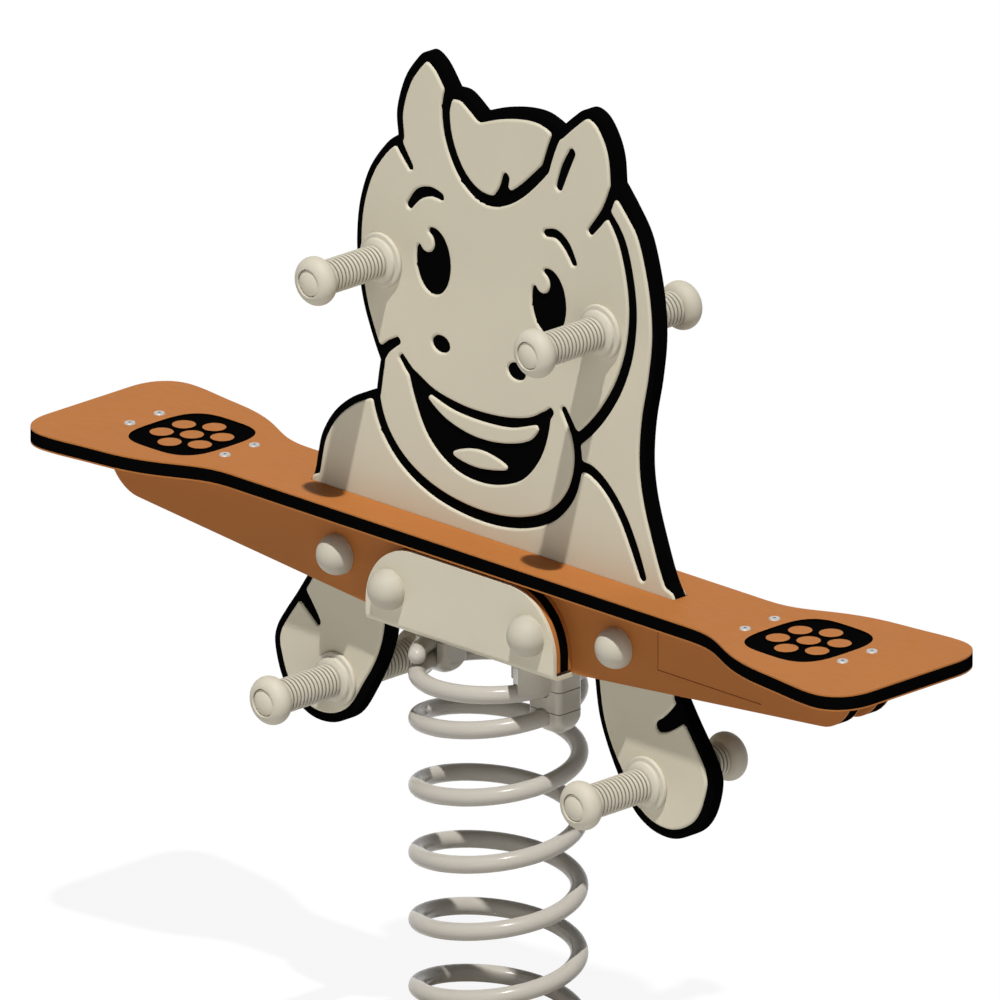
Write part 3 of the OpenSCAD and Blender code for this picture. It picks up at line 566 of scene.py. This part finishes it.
# a smooth curve through the points
def smoothLine(points, steps, closed=False):
    count = len(points)
    knots = [np.array(p, float) for p in points]
    line = []
    for i in range(count if closed else count - 1):
        if closed:
            a, b, c, d = (knots[(i + k) % count] for k in (-1, 0, 1, 2))
        else:
            a, b, c, d = (knots[min(count - 1, max(0, i + k))] for k in (-1, 0, 1, 2))
        for k in range(steps):
            t = k / steps
            line.append((2 * b + (c - a) * t + (2 * a - 5 * b + 4 * c - d) * t ** 2
                         + (3 * b - a - 3 * c + d) * t ** 3) / 2)
    return line if closed else line + [knots[-1]]


def ovalLine(oval, count=40):
    x, z, halfX, halfZ = oval
    turns = [2 * math.pi * i / count for i in range(count)]
    return [np.array((x + halfX * math.cos(a), z + halfZ * math.sin(a))) for a in turns]


# a drawing grid on the panel: each field is the distance inside a shape, in millimetres
class DrawingGrid:
    def __init__(self, low, high, step, reach):
        self.low = np.array(low)
        self.step = step
        self.reach = reach
        self.x = np.arange(low[0], high[0], step)
        self.z = np.arange(low[1], high[1], step)

    def nearLine(self, a, b):
        margin = self.reach
        i0, i1 = np.searchsorted(self.z, (min(a[1], b[1]) - margin, max(a[1], b[1]) + margin))
        j0, j1 = np.searchsorted(self.x, (min(a[0], b[0]) - margin, max(a[0], b[0]) + margin))
        x, z = np.meshgrid(self.x[j0:j1], self.z[i0:i1])
        run = b[:2] - a[:2]
        share = ((x - a[0]) * run[0] + (z - a[1]) * run[1]) / max(run @ run, 1e-9)
        share = np.clip(share, 0, 1)
        gap = np.hypot(x - a[0] - share * run[0], z - a[1] - share * run[1])
        return (slice(i0, i1), slice(j0, j1)), share, gap

    def strokeField(self, line):
        field = np.full((len(self.z), len(self.x)), -self.reach)
        for a, b in zip(line, line[1:]):
            window, share, gap = self.nearLine(a, b)
            field[window] = np.maximum(field[window], (a[2] + share * (b[2] - a[2])) / 2 - gap)
        return field

    def shapeField(self, loops):
        gaps = np.full((len(self.z), len(self.x)), self.reach)
        inside = np.zeros(gaps.shape, bool)
        for loop in loops:
            for a, b in zip(loop, [*loop[1:], loop[0]]):
                window, _, gap = self.nearLine(a, b)
                gaps[window] = np.minimum(gaps[window], gap)
                i0, i1 = np.searchsorted(self.z, sorted((a[1], b[1])))
                for i in range(i0, i1):
                    crossing = a[0] + (b[0] - a[0]) * (self.z[i] - a[1]) / (b[1] - a[1])
                    inside[i, :np.searchsorted(self.x, crossing)] ^= True
        return np.where(inside, gaps, -gaps)

    def sample(self, field, points):
        at = (points - self.low) / self.step
        j = np.clip(at[:, 0].astype(int), 0, len(self.x) - 2)
        i = np.clip(at[:, 1].astype(int), 0, len(self.z) - 2)
        u, v = at[:, 0] - j, at[:, 1] - i
        return (field[i, j] * (1 - u) * (1 - v) + field[i, j + 1] * u * (1 - v)
                + field[i + 1, j] * (1 - u) * v + field[i + 1, j + 1] * u * v)

    def contours(self, field, level):
        value = field - level + 1e-9
        above = value > 0
        steps = {}

        def crossing(i, j, across):
            first = value[i, j]
            second = value[i, j + 1] if across else value[i + 1, j]
            share = first / (first - second)
            x = self.x[j] + (share * self.step if across else 0)
            z = self.z[i] + (0 if across else share * self.step)
            return np.array((x, z))

        mixed = above[:-1, :-1].astype(int) + above[:-1, 1:] + above[1:, :-1] + above[1:, 1:]
        for i, j in zip(*np.nonzero((mixed > 0) & (mixed < 4))):
            sides = [(i, j, True), (i, j + 1, False), (i + 1, j, True), (i, j, False)]
            ends = [(above[i, j], above[i, j + 1]), (above[i, j + 1], above[i + 1, j + 1]),
                    (above[i + 1, j], above[i + 1, j + 1]), (above[i, j], above[i + 1, j])]
            cut = [side for side, (p, q) in zip(sides, ends) if p != q]
            if len(cut) == 4 and above[i, j] != (value[i:i + 2, j:j + 2].mean() > 0):
                cut = [cut[3], cut[0], cut[1], cut[2]]
            for p, q in zip(cut[::2], cut[1::2]):
                steps.setdefault(p, []).append(q)
                steps.setdefault(q, []).append(p)
        loops = []
        while steps:
            start = next(iter(steps))
            chain, here = [start], start
            while steps.get(here):
                there = steps[here].pop()
                steps[there].remove(here)
                chain.append(there)
                here = there
            for key in chain:
                if key in steps and not steps[key]:
                    del steps[key]
            loops.append([crossing(*key) for key in chain[:-1]])
        return loops


# fewer points where a loop runs straight
def thinned(loop, turn, length):
    kept = []
    bend, run = 0.0, 0.0
    for before, here, after in zip([loop[-1], *loop], loop, [*loop[1:], loop[0]]):
        first, second = here - before, after - here
        cross = first[0] * second[1] - first[1] * second[0]
        bend += abs(math.degrees(math.atan2(cross, first @ second)))
        run += math.hypot(*first)
        if not kept or bend > turn or run > length:
            kept.append(here)
            bend, run = 0.0, 0.0
    return kept


def panelOutline():
    bm = copyNode("pony_panel")
    others = [face for face in bm.faces if face.normal.y >= -0.99]  # all but the front face
    bmesh.ops.delete(bm, geom=others, context="FACES")
    rim = {edge for edge in bm.edges if edge.is_boundary}
    loops = []
    while rim:
        edge = rim.pop()
        first, here = edge.verts
        loop = [here]
        while here != first:
            edge = next(e for e in here.link_edges if e in rim)
            rim.remove(edge)
            here = edge.other_vert(here)
            loop.append(here)
        loops.append([np.array((vert.co.x, vert.co.z)) / millimetre for vert in loop])
    bm.free()
    return loops


def drawPanel(setup, seat):
    loops = [[point - (0, seat) for point in loop] for loop in panelOutline()]
    corners = np.concatenate([np.array(loop) for loop in loops])
    margin, steps = setup["margin"], setup["lineSteps"]
    grid = DrawingGrid(corners.min(0) - margin, corners.max(0) + margin, setup["step"], setup["reach"])
    outline = grid.shapeField(loops)
    black = np.full(outline.shape, -setup["reach"])
    for points in panelLines:
        black = np.maximum(black, grid.strokeField(smoothLine(points, steps)))
    for loop in [ovalLine(oval) for oval in panelOvals] + [smoothLine(mouthShape, steps, True)]:
        black = np.maximum(black, grid.shapeField([loop]))
    paleShapes = [smoothLine(shape, steps, True) for shape in (toothShape, tongueShape)]
    for loop in paleShapes + [ovalLine(oval) for oval in glintOvals]:
        black = np.minimum(black, -grid.shapeField([loop]))
    height = grid.z[:, None]
    ramp = setup["footRamp"]
    foot = np.clip((setup["footHigh"] + ramp - height) / ramp, 0, 1)
    foot = foot * np.clip((height - setup["footLow"]) / ramp, 0, 1)
    wide = np.maximum(np.clip((height - setup["earsFrom"]) / setup["widenOver"], 0, 1),
                      np.clip((setup["hoovesFrom"] - height) / setup["widenOver"], 0, 1))
    border = (setup["border"] + setup["wideBorder"] * wide) * (1 - foot)
    field = np.minimum(outline - border, -black)
    for radius in (setup["corner"], -setup["corner"]):  # rounds the corners that stand out, then the hollows
        field = grid.shapeField(grid.contours(field, radius)) + radius
    return grid, field


def panelSkin(bm, setup, grid, field, seat):
    skin, sink = setup["skin"], setup["sink"]
    points, links, heights = [], [], []
    for level in [share * skin for share in setup["levels"]]:
        rise = math.sqrt(max(0.0, skin ** 2 - max(0.0, skin - level) ** 2))
        for loop in grid.contours(field, level):
            loop = thinned(loop, setup["turn"], setup["length"])
            if len(loop) < 3:
                continue
            first = len(points)
            points += [Vector(point) for point in loop]
            heights += [rise] * len(loop)
            links += [(first + i, first + (i + 1) % len(loop)) for i in range(len(loop))]
    flatPoints, _, triangles, origins, _, _ = geometry.delaunay_2d_cdt(points, links, [], 0, 1e-5, True)
    flat = np.array([tuple(point) for point in flatPoints])
    middles = np.array([flat[list(triangle)].mean(0) for triangle in triangles])
    kept = [triangle for triangle, depth in zip(triangles, grid.sample(field, middles)) if depth > 0.0]
    lift = [heights[origin[0]] if origin else skin for origin in origins]
    for side in (-1, 1):
        verts = {}
        for triangle in kept:
            for i in triangle:
                if i not in verts:
                    y = side * (setup["core"] / 2 - sink + lift[i] * (skin + sink) / skin)
                    spot = Vector((flat[i][0], y, flat[i][1] + seat)) * millimetre
                    verts[i] = bm.verts.new(spot)
            corners = [verts[i] for i in triangle]
            bm.faces.new(corners if side < 0 else corners[::-1])


def makePanel(setup):
    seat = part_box("seat_plank")[1].z / millimetre
    grid, field = drawPanel(setup, seat)
    bm = bmesh.new()
    panelSkin(bm, setup, grid, field, seat)
    bm.normal_update()
    piece = finishPiece(bm, "panelSkins", [sandSkin], "rider", 60.0)
    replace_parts(piece, "pony_panel")
    core = copyNode("pony_panel")
    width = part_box("pony_panel")[1].y / millimetre
    bmesh.ops.scale(core, vec=(1, setup["core"] / 2 / width, 1), verts=core.verts[:])
    piece = finishPiece(core, "panelCore", [blackCore], "rider", 40.0)
    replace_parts(piece, "pony_panel")


makePanel(panelSetup)
print("panel made")


# grips, plugs and bolt covers: profiles of (radius, distance from the face), turned about Y
def turnedPiece(bm, profile, place, side, steps=72, closed=False):
    centre = Vector(place) * millimetre
    verts = [bm.verts.new(centre + Vector((radius, side * out, 0)) * millimetre) for radius, out in profile]
    pairs = list(zip(verts, verts[1:])) + ([(verts[-1], verts[0])] if closed else [])
    edges = [bm.edges.new(pair) for pair in pairs]
    bmesh.ops.spin(bm, geom=verts + edges, cent=centre, axis=(0, 1, 0), angle=2 * math.pi, steps=steps,
                   use_merge=True)


def arc(centre, radius, fromAngle, toAngle, count):
    turns = [math.radians(fromAngle + (toAngle - fromAngle) * i / count) for i in range(count + 1)]
    return [(centre[0] + radius * math.cos(a), centre[1] + radius * math.sin(a)) for a in turns]


gripSetup = {
    "bore": 6.5,
    "flange": 31.5,
    "flangeThick": 5.0,
    "flangeEdge": (1.0, 2.5),  # its rounding at the panel and away from it
    "step": 25.5,
    "stepEdge": (1.5, 2.0),  # the hollow at its foot and the rounding above
    "bell": 12.0,  # distance at which the ribs start
    "rib": 19.5,
    "ribDeep": 2.3,
    "ribCount": 14,
    # one rib as (share of its pitch, share of its height)
    "ribShape": ((0.0, 0.0), (0.24, 0.0), (0.30, 0.55), (0.38, 0.9), (0.5, 1.0), (0.76, 1.0),
                 (0.88, 0.9), (0.95, 0.55), (0.99, 0.0)),
    "ribGap": 0.6,
    # faces deeper than this share of a rib's height, from its top, get the furrows' painted shade
    "furrow": 0.6,  # share of a rib's height that counts as furrow, from its top
    "ball": 28.0,
    "ballLength": 26.0,
    "recess": 16.0,
    "recessEdge": (0.4, 0.6),
    "recessDeep": 24.0,
    "sides": 80,
}


def gripProfile(setup, length):
    flange, thick, step, rib = setup["flange"], setup["flangeThick"], setup["step"], setup["rib"]
    back, front = setup["flangeEdge"]
    hollow, rim = setup["stepEdge"]
    profile = [(setup["bore"], 0), (flange - back, 0)] + arc((flange - back, back), back, -90, 0, 3)[1:]
    profile += arc((flange - front, thick - front), front, 0, 90, 5)
    profile += arc((step + hollow, thick + hollow), hollow, 270, 180, 3)
    profile += arc((step - rim, thick + rim), rim, 0, 60, 4) + [(rib, setup["bell"] - setup["ribGap"])]
    furrow = rib - setup["ribDeep"]
    start, end = setup["bell"], length - setup["ballLength"]
    pitch = (end - start) / setup["ribCount"]
    for i in range(setup["ribCount"]):
        foot = start + i * pitch
        for share, lift in setup["ribShape"]:
            profile.append((furrow + setup["ribDeep"] * lift, foot + share * pitch))
    bead = setup["ballLength"] / 2
    ring = setup["ball"] - bead
    bottom = -math.degrees(math.acos((rib - ring) / bead))
    slant, drop = setup["recessEdge"]
    top = math.degrees(math.acos((setup["recess"] + slant - ring) / bead))
    profile += arc((ring, length - bead), bead, bottom, top, 22)
    floor = length - setup["recessDeep"]
    return profile + [(setup["recess"], length - drop), (setup["recess"], floor), (setup["bore"], floor)]


# faces deep in the furrows take the darker copy, painted shade; the ribs' tops take the rib colour
def markFurrows(bm, setup, middle, width, length):
    ribs = (setup["bell"] - setup["ribGap"] / 2, length - setup["ballLength"])
    floor = setup["rib"] - setup["furrow"] * setup["ribDeep"]
    for face in bm.faces:
        spot = face.calc_center_median() / millimetre
        radius = math.hypot(spot.x - middle.x, spot.z - middle.z)
        outside = radius > 2 * setup["bore"]
        if outside and ribs[0] < abs(spot.y) - width < ribs[1]:
            face.material_index = 2 if radius < floor else 1


def makeGrips(setup):
    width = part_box("pony_panel")[1].y / millimetre
    for place in ("handle", "foot_rest"):
        for end in ("left", "right"):
            for face, side in (("front", -1), ("rear", 1)):
                node = f"{face}_{end}_{place}"
                low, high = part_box(node)
                middle = (low + high) / 2 / millimetre
                length = (high.y - low.y) / millimetre
                foot = (middle.x, side * width, middle.z)
                bm = bmesh.new()
                turnedPiece(bm, gripProfile(setup, length), foot, side, setup["sides"], True)
                bmesh.ops.recalc_face_normals(bm, faces=bm.faces[:])
                markFurrows(bm, setup, middle, width, length)
                name = face + end.title() + place.title().replace("_", "")
                looks = [paleGrip, gripRib, gripFurrowShade]
                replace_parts(finishPiece(bm, name, looks, "rider"), node)


makeGrips(gripSetup)
print("grips made")


# lower and upper corner of each loose solid in a node
def solidBoxes(node, count):
    bm = copyNode(node)
    seen, found = set(), []
    for vert in bm.verts:
        if vert in seen:
            continue
        island, waiting = [], [vert]
        seen.add(vert)
        while waiting:
            here = waiting.pop()
            island.append(tuple(here.co))
            for link in here.link_edges:
                other = link.other_vert(here)
                if other not in seen:
                    seen.add(other)
                    waiting.append(other)
        corners = np.array(island)
        found.append((corners.min(0), corners.max(0)))
    bm.free()
    assert len(found) == count, (node, len(found))
    return found


# the same turned piece in the place of each solid of a node
def turnedSet(name, node, profile, material, count):
    bm = bmesh.new()
    for low, high in solidBoxes(node, count):
        middle = (low + high) / 2 / millimetre
        side = 1 if middle[1] > 0 else -1
        base = min(abs(low[1]), abs(high[1])) / millimetre
        length = (high[1] - low[1]) / millimetre
        turnedPiece(bm, profile(length), (middle[0], side * base, middle[2]), side)
    bmesh.ops.remove_doubles(bm, verts=bm.verts[:], dist=weldGap)
    bmesh.ops.recalc_face_normals(bm, faces=bm.faces[:])
    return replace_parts(finishPiece(bm, name, [material], "rider"), node)


plugSetup = {"radius": 15.0, "wall": 2.4, "crown": 3.2, "thick": 3.0}


def plugProfile(length):
    radius, crown = plugSetup["radius"], plugSetup["crown"]
    ball = (radius ** 2 + crown ** 2) / (2 * crown)
    reach = math.degrees(math.asin(radius / ball))
    inner, roof = radius - plugSetup["wall"], length - crown - plugSetup["thick"]
    dome = arc((0, length - ball), ball, 90 - reach, 90, 10)
    return [(0, roof), (inner, roof), (inner, 0), (radius, 0)] + dome


turnedSet("handlePlugs", "handle_plugs", plugProfile, plugPaintedLight, 4)
turnedSet("footRestPlugs", "foot_rest_plugs", plugProfile, plugPaintedLight, 4)


coverSetup = {
    "radius": 23.5,
    "room": 13.0,  # hollow for the bolt's head or nut
    "deep": 17.0,
    "bore": 6.5,
    "seam": 0.3,  # small bevel where cover and disc meet
}


def coverProfile(length):
    radius, seam = coverSetup["radius"], coverSetup["seam"]
    inner = [(0, coverSetup["deep"]), (coverSetup["room"], coverSetup["deep"]), (coverSetup["room"], 0)]
    rise = math.degrees(math.asin(1.2 * seam / radius))
    bevel = [(radius - 1.5 * seam, 0), (radius - 0.3 * seam, 0.5 * seam)]
    return inner + bevel + arc((0, 0), radius, rise, 90, 22)


def discProfile(length):
    bore, radius, seam = coverSetup["bore"], coverSetup["radius"], coverSetup["seam"]
    rim = [(radius - seam, 0), (radius, seam), (radius, length - seam), (radius - 1.5 * seam, length)]
    return [(bore, 0)] + rim + [(bore, length), (bore, 0)]


for owner in ("beam", "saddle"):
    turnedSet(owner + "BoltCovers", owner + "_bolt_covers", coverProfile, coverPlastic, 4)
    turnedSet(owner + "CoverDiscs", owner + "_cover_discs", discProfile, coverPlastic, 4)
print("plugs and covers made")


# spring: the wire wound step by step up a helix, in two halves that meet at mid height
springSetup = {
    "wire": 20.0,
    "coil": 180.0,  # across the middle of the wire
    "turns": 8.25,
    "closePitch": 25.0,
    "openPitch": 79.0,
    "closeTurns": 1.49,  # at each end
    "change": 0.5,  # turns over which the pitch changes
    "tipClose": 4.4,  # how far the last bit of wire bends to its neighbour
    "tipTurns": 0.3,
    "foot": 28.0,  # height of the wire's lower end
    "topAngle": 225.0,
    "stepsPerTurn": 72,
    "sides": 20,
    "endSteps": 5,  # rings of a rounded end
    "endSlope": 0.04,
}


# turns past a change of pitch, eased in
def easedSum(setup, turns):
    share = min(1.0, max(0.0, turns / setup["change"] + 0.5))
    return setup["change"] * (share ** 3 - share ** 4 / 2) + max(0.0, turns - setup["change"] / 2)


def wireRise(setup, turns):
    opening = setup["openPitch"] - setup["closePitch"]
    late = setup["turns"] - setup["closeTurns"]
    rise = setup["closePitch"] * turns + opening * (easedSum(setup, turns - setup["closeTurns"])
                                                    - easedSum(setup, turns - late))
    first, last = (max(0.0, 1 - gap / setup["tipTurns"]) for gap in (turns, setup["turns"] - turns))
    return rise + setup["tipClose"] * (first ** 2 - last ** 2)


def ringEdges(ring):
    return list({edge for vert in ring for edge in vert.link_edges if edge.other_vert(vert) in ring})


def roundEnd(bm, ring, along, setup):
    radius = setup["wire"] / 2 * millimetre
    centre = sum((vert.co for vert in ring), Vector()) / len(ring)
    edges = ringEdges(ring)
    size, reach = 1.0, 0.0
    for i in range(1, setup["endSteps"] + 1):
        turn = math.pi / 2 * i / (setup["endSteps"] + 0.5)
        made = bmesh.ops.extrude_edge_only(bm, edges=edges)["geom"]
        verts = [item for item in made if isinstance(item, bmesh.types.BMVert)]
        edges = [item for item in made if isinstance(item, bmesh.types.BMEdge)
                 and all(vert in verts for vert in item.verts)]
        grow = math.cos(turn) / size
        size, ahead = math.cos(turn), math.sin(turn) * radius
        origin = Matrix.Translation(-centre - along * reach)
        bmesh.ops.scale(bm, vec=(grow, grow, grow), space=origin, verts=verts)
        bmesh.ops.translate(bm, vec=along * (ahead - reach), verts=verts)
        reach = ahead
    bmesh.ops.contextual_create(bm, geom=edges)


def springHalf(name, setup, fromTurn, toTurn):
    bm = bmesh.new()
    radius, coil = setup["wire"] / 2 * millimetre, setup["coil"] / 2 * millimetre
    angle = math.radians(setup["topAngle"] + 360 * (fromTurn - setup["turns"]))
    slope = math.atan(setup["openPitch"] / math.pi / setup["coil"])  # alike in both halves, so they meet
    height = (setup["foot"] + wireRise(setup, fromTurn)) * millimetre
    upright = Matrix.Rotation(math.pi / 2 + slope, 4, "X")
    place = Matrix.Rotation(angle, 4, "Z") @ Matrix.Translation((coil, 0, 0)) @ upright
    ring = bmesh.ops.create_circle(bm, cap_ends=False, segments=setup["sides"], radius=radius,
                                   matrix=Matrix.Translation((0, 0, height)) @ place)["verts"]
    first = list(ring)
    steps = round((toTurn - fromTurn) * setup["stepsPerTurn"])
    size = (toTurn - fromTurn) / steps
    geom = first + ringEdges(first)
    for i in range(steps):
        turns = fromTurn + i * size
        rise = (wireRise(setup, turns + size) - wireRise(setup, turns)) * millimetre
        geom = bmesh.ops.spin(bm, geom=geom, cent=(0, 0, 0), axis=(0, 0, 1), dvec=(0, 0, rise),
                              angle=2 * math.pi * size, steps=1)["geom_last"]
    last = [item for item in geom if isinstance(item, bmesh.types.BMVert)]
    for ring, turns, way in ((first, fromTurn, -1), (last, toTurn, 1)):
        turn = math.radians(setup["topAngle"] + 360 * (turns - setup["turns"]))
        along = Vector((-math.sin(turn), math.cos(turn), setup["endSlope"])).normalized() * way
        if turns in (0, setup["turns"]):
            roundEnd(bm, ring, along, setup)
        else:
            bmesh.ops.contextual_create(bm, geom=ringEdges(ring))
    bmesh.ops.recalc_face_normals(bm, faces=bm.faces[:])
    piece = finishPiece(bm, name, [springCoat], None)
    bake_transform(piece)
    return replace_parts(piece, "coil_spring")


def makeSpring(setup):
    half = setup["turns"] / 2
    springHalf("lowerSpring", setup, 0, half)
    springHalf("upperSpring", setup, half, setup["turns"])


makeSpring(springSetup)
print("spring made")


# clamps, saddle and ground plate: the solids with their edges softened, so that the seams show
clampSetup = {
    "soften": 0.5,
    "seam": 1.0,
    "dome": 20.0,  # rounding of a cap's free end
    "corner": 7.0,  # of its upright edges at the seam
    "cuts": 10,  # pieces that a cap is cut into along each axis, so that it can bend
    "jaws": (101.0, 102.0),  # where the jaws' outer faces lie in the solid
    "ledge": 2.5,  # how far these stand out over the wire
}


def spreadJaws(bm, setup):
    low, high = setup["jaws"]
    for vert in bm.verts:
        reach = vert.co.xy.length / millimetre
        if low < reach < high:
            vert.co.xy *= 1 + setup["ledge"] / reach


def domeCap(bm, node, setup):
    low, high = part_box(node)
    for axis in range(3):
        for i in range(1, setup["cuts"]):
            cutAcross(bm, axis, low[axis] + (high[axis] - low[axis]) * i / setup["cuts"])
    tall = setup["dome"] * millimetre
    start = high.z - tall if node.startswith("lower") else low.z + tall
    way = 1 if node.startswith("lower") else -1
    for vert in bm.verts:
        rise = min(1.0, max(0.0, (vert.co.z - start) * way / tall))
        bend = (setup["corner"] + (setup["dome"] - setup["corner"]) * rise) * millimetre
        core = Vector([min(max(vert.co[i], low[i] + bend), high[i] - bend) for i in range(2)])
        side = vert.co.xy - core
        over = math.hypot(side.length / bend, rise)
        if over > 1:
            vert.co.xy = core + side / over
            vert.co.z -= way * tall * rise * (1 - 1 / over)


blockSetup = {
    "rim": 60.0,  # edges sharper than this are softened
    "segments": 2,
    "saddle": 0.9,  # width of the softened edges
    "plate": 1.2,
}


def softBlock(node, width, material, body, gap=0.0):
    bm = copyNode(node)
    if node.endswith("right_clamp_block"):
        spreadJaws(bm, clampSetup)
    low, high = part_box(node)
    tall = high.z - low.z
    shrink = (tall - gap * millimetre) / tall
    middle = Matrix.Translation((0, 0, -(low.z + high.z) / 2))
    bmesh.ops.scale(bm, vec=(1, 1, shrink), space=middle, verts=bm.verts[:])
    roundRims(bm, blockSetup["rim"], width * millimetre, blockSetup["segments"])
    if node.endswith("cap"):
        domeCap(bm, node, clampSetup)
    first, *others = node.split("_")
    name = first + "".join(word.title() for word in others)
    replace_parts(evenNormals(finishPiece(bm, name, [material], body, 40.0)), node)


clampParts = ("right_clamp_block", "right_clamp_middle", "right_clamp_cap", "left_clamp_block",
              "left_clamp_cap")
zincParts = ("screws", "bolts", "nuts", "washers", "shims", "rods")
for end, body in (("lower", "base"), ("upper", "rider")):
    for part in clampParts:
        softBlock(f"{end}_{part}", clampSetup["soften"], clampCoat, body, clampSetup["seam"])
softBlock("saddle_bracket", blockSetup["saddle"], saddleCoat, "rider")
softBlock("base_plate", blockSetup["plate"], clampCoat, "base")
for name in nodes:
    if any(word in name for word in zincParts):
        paintNode(name, zincPlate)
print("clamps, saddle and fasteners finished")


boxes = {"cad": cadBox, "visual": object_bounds()}
boxes = {name: [list(corner) for corner in box] for name, box in boxes.items()}
for name, box in boxes.items():
    print(name, "box", [round(value, 4) for corner in box for value in corner])
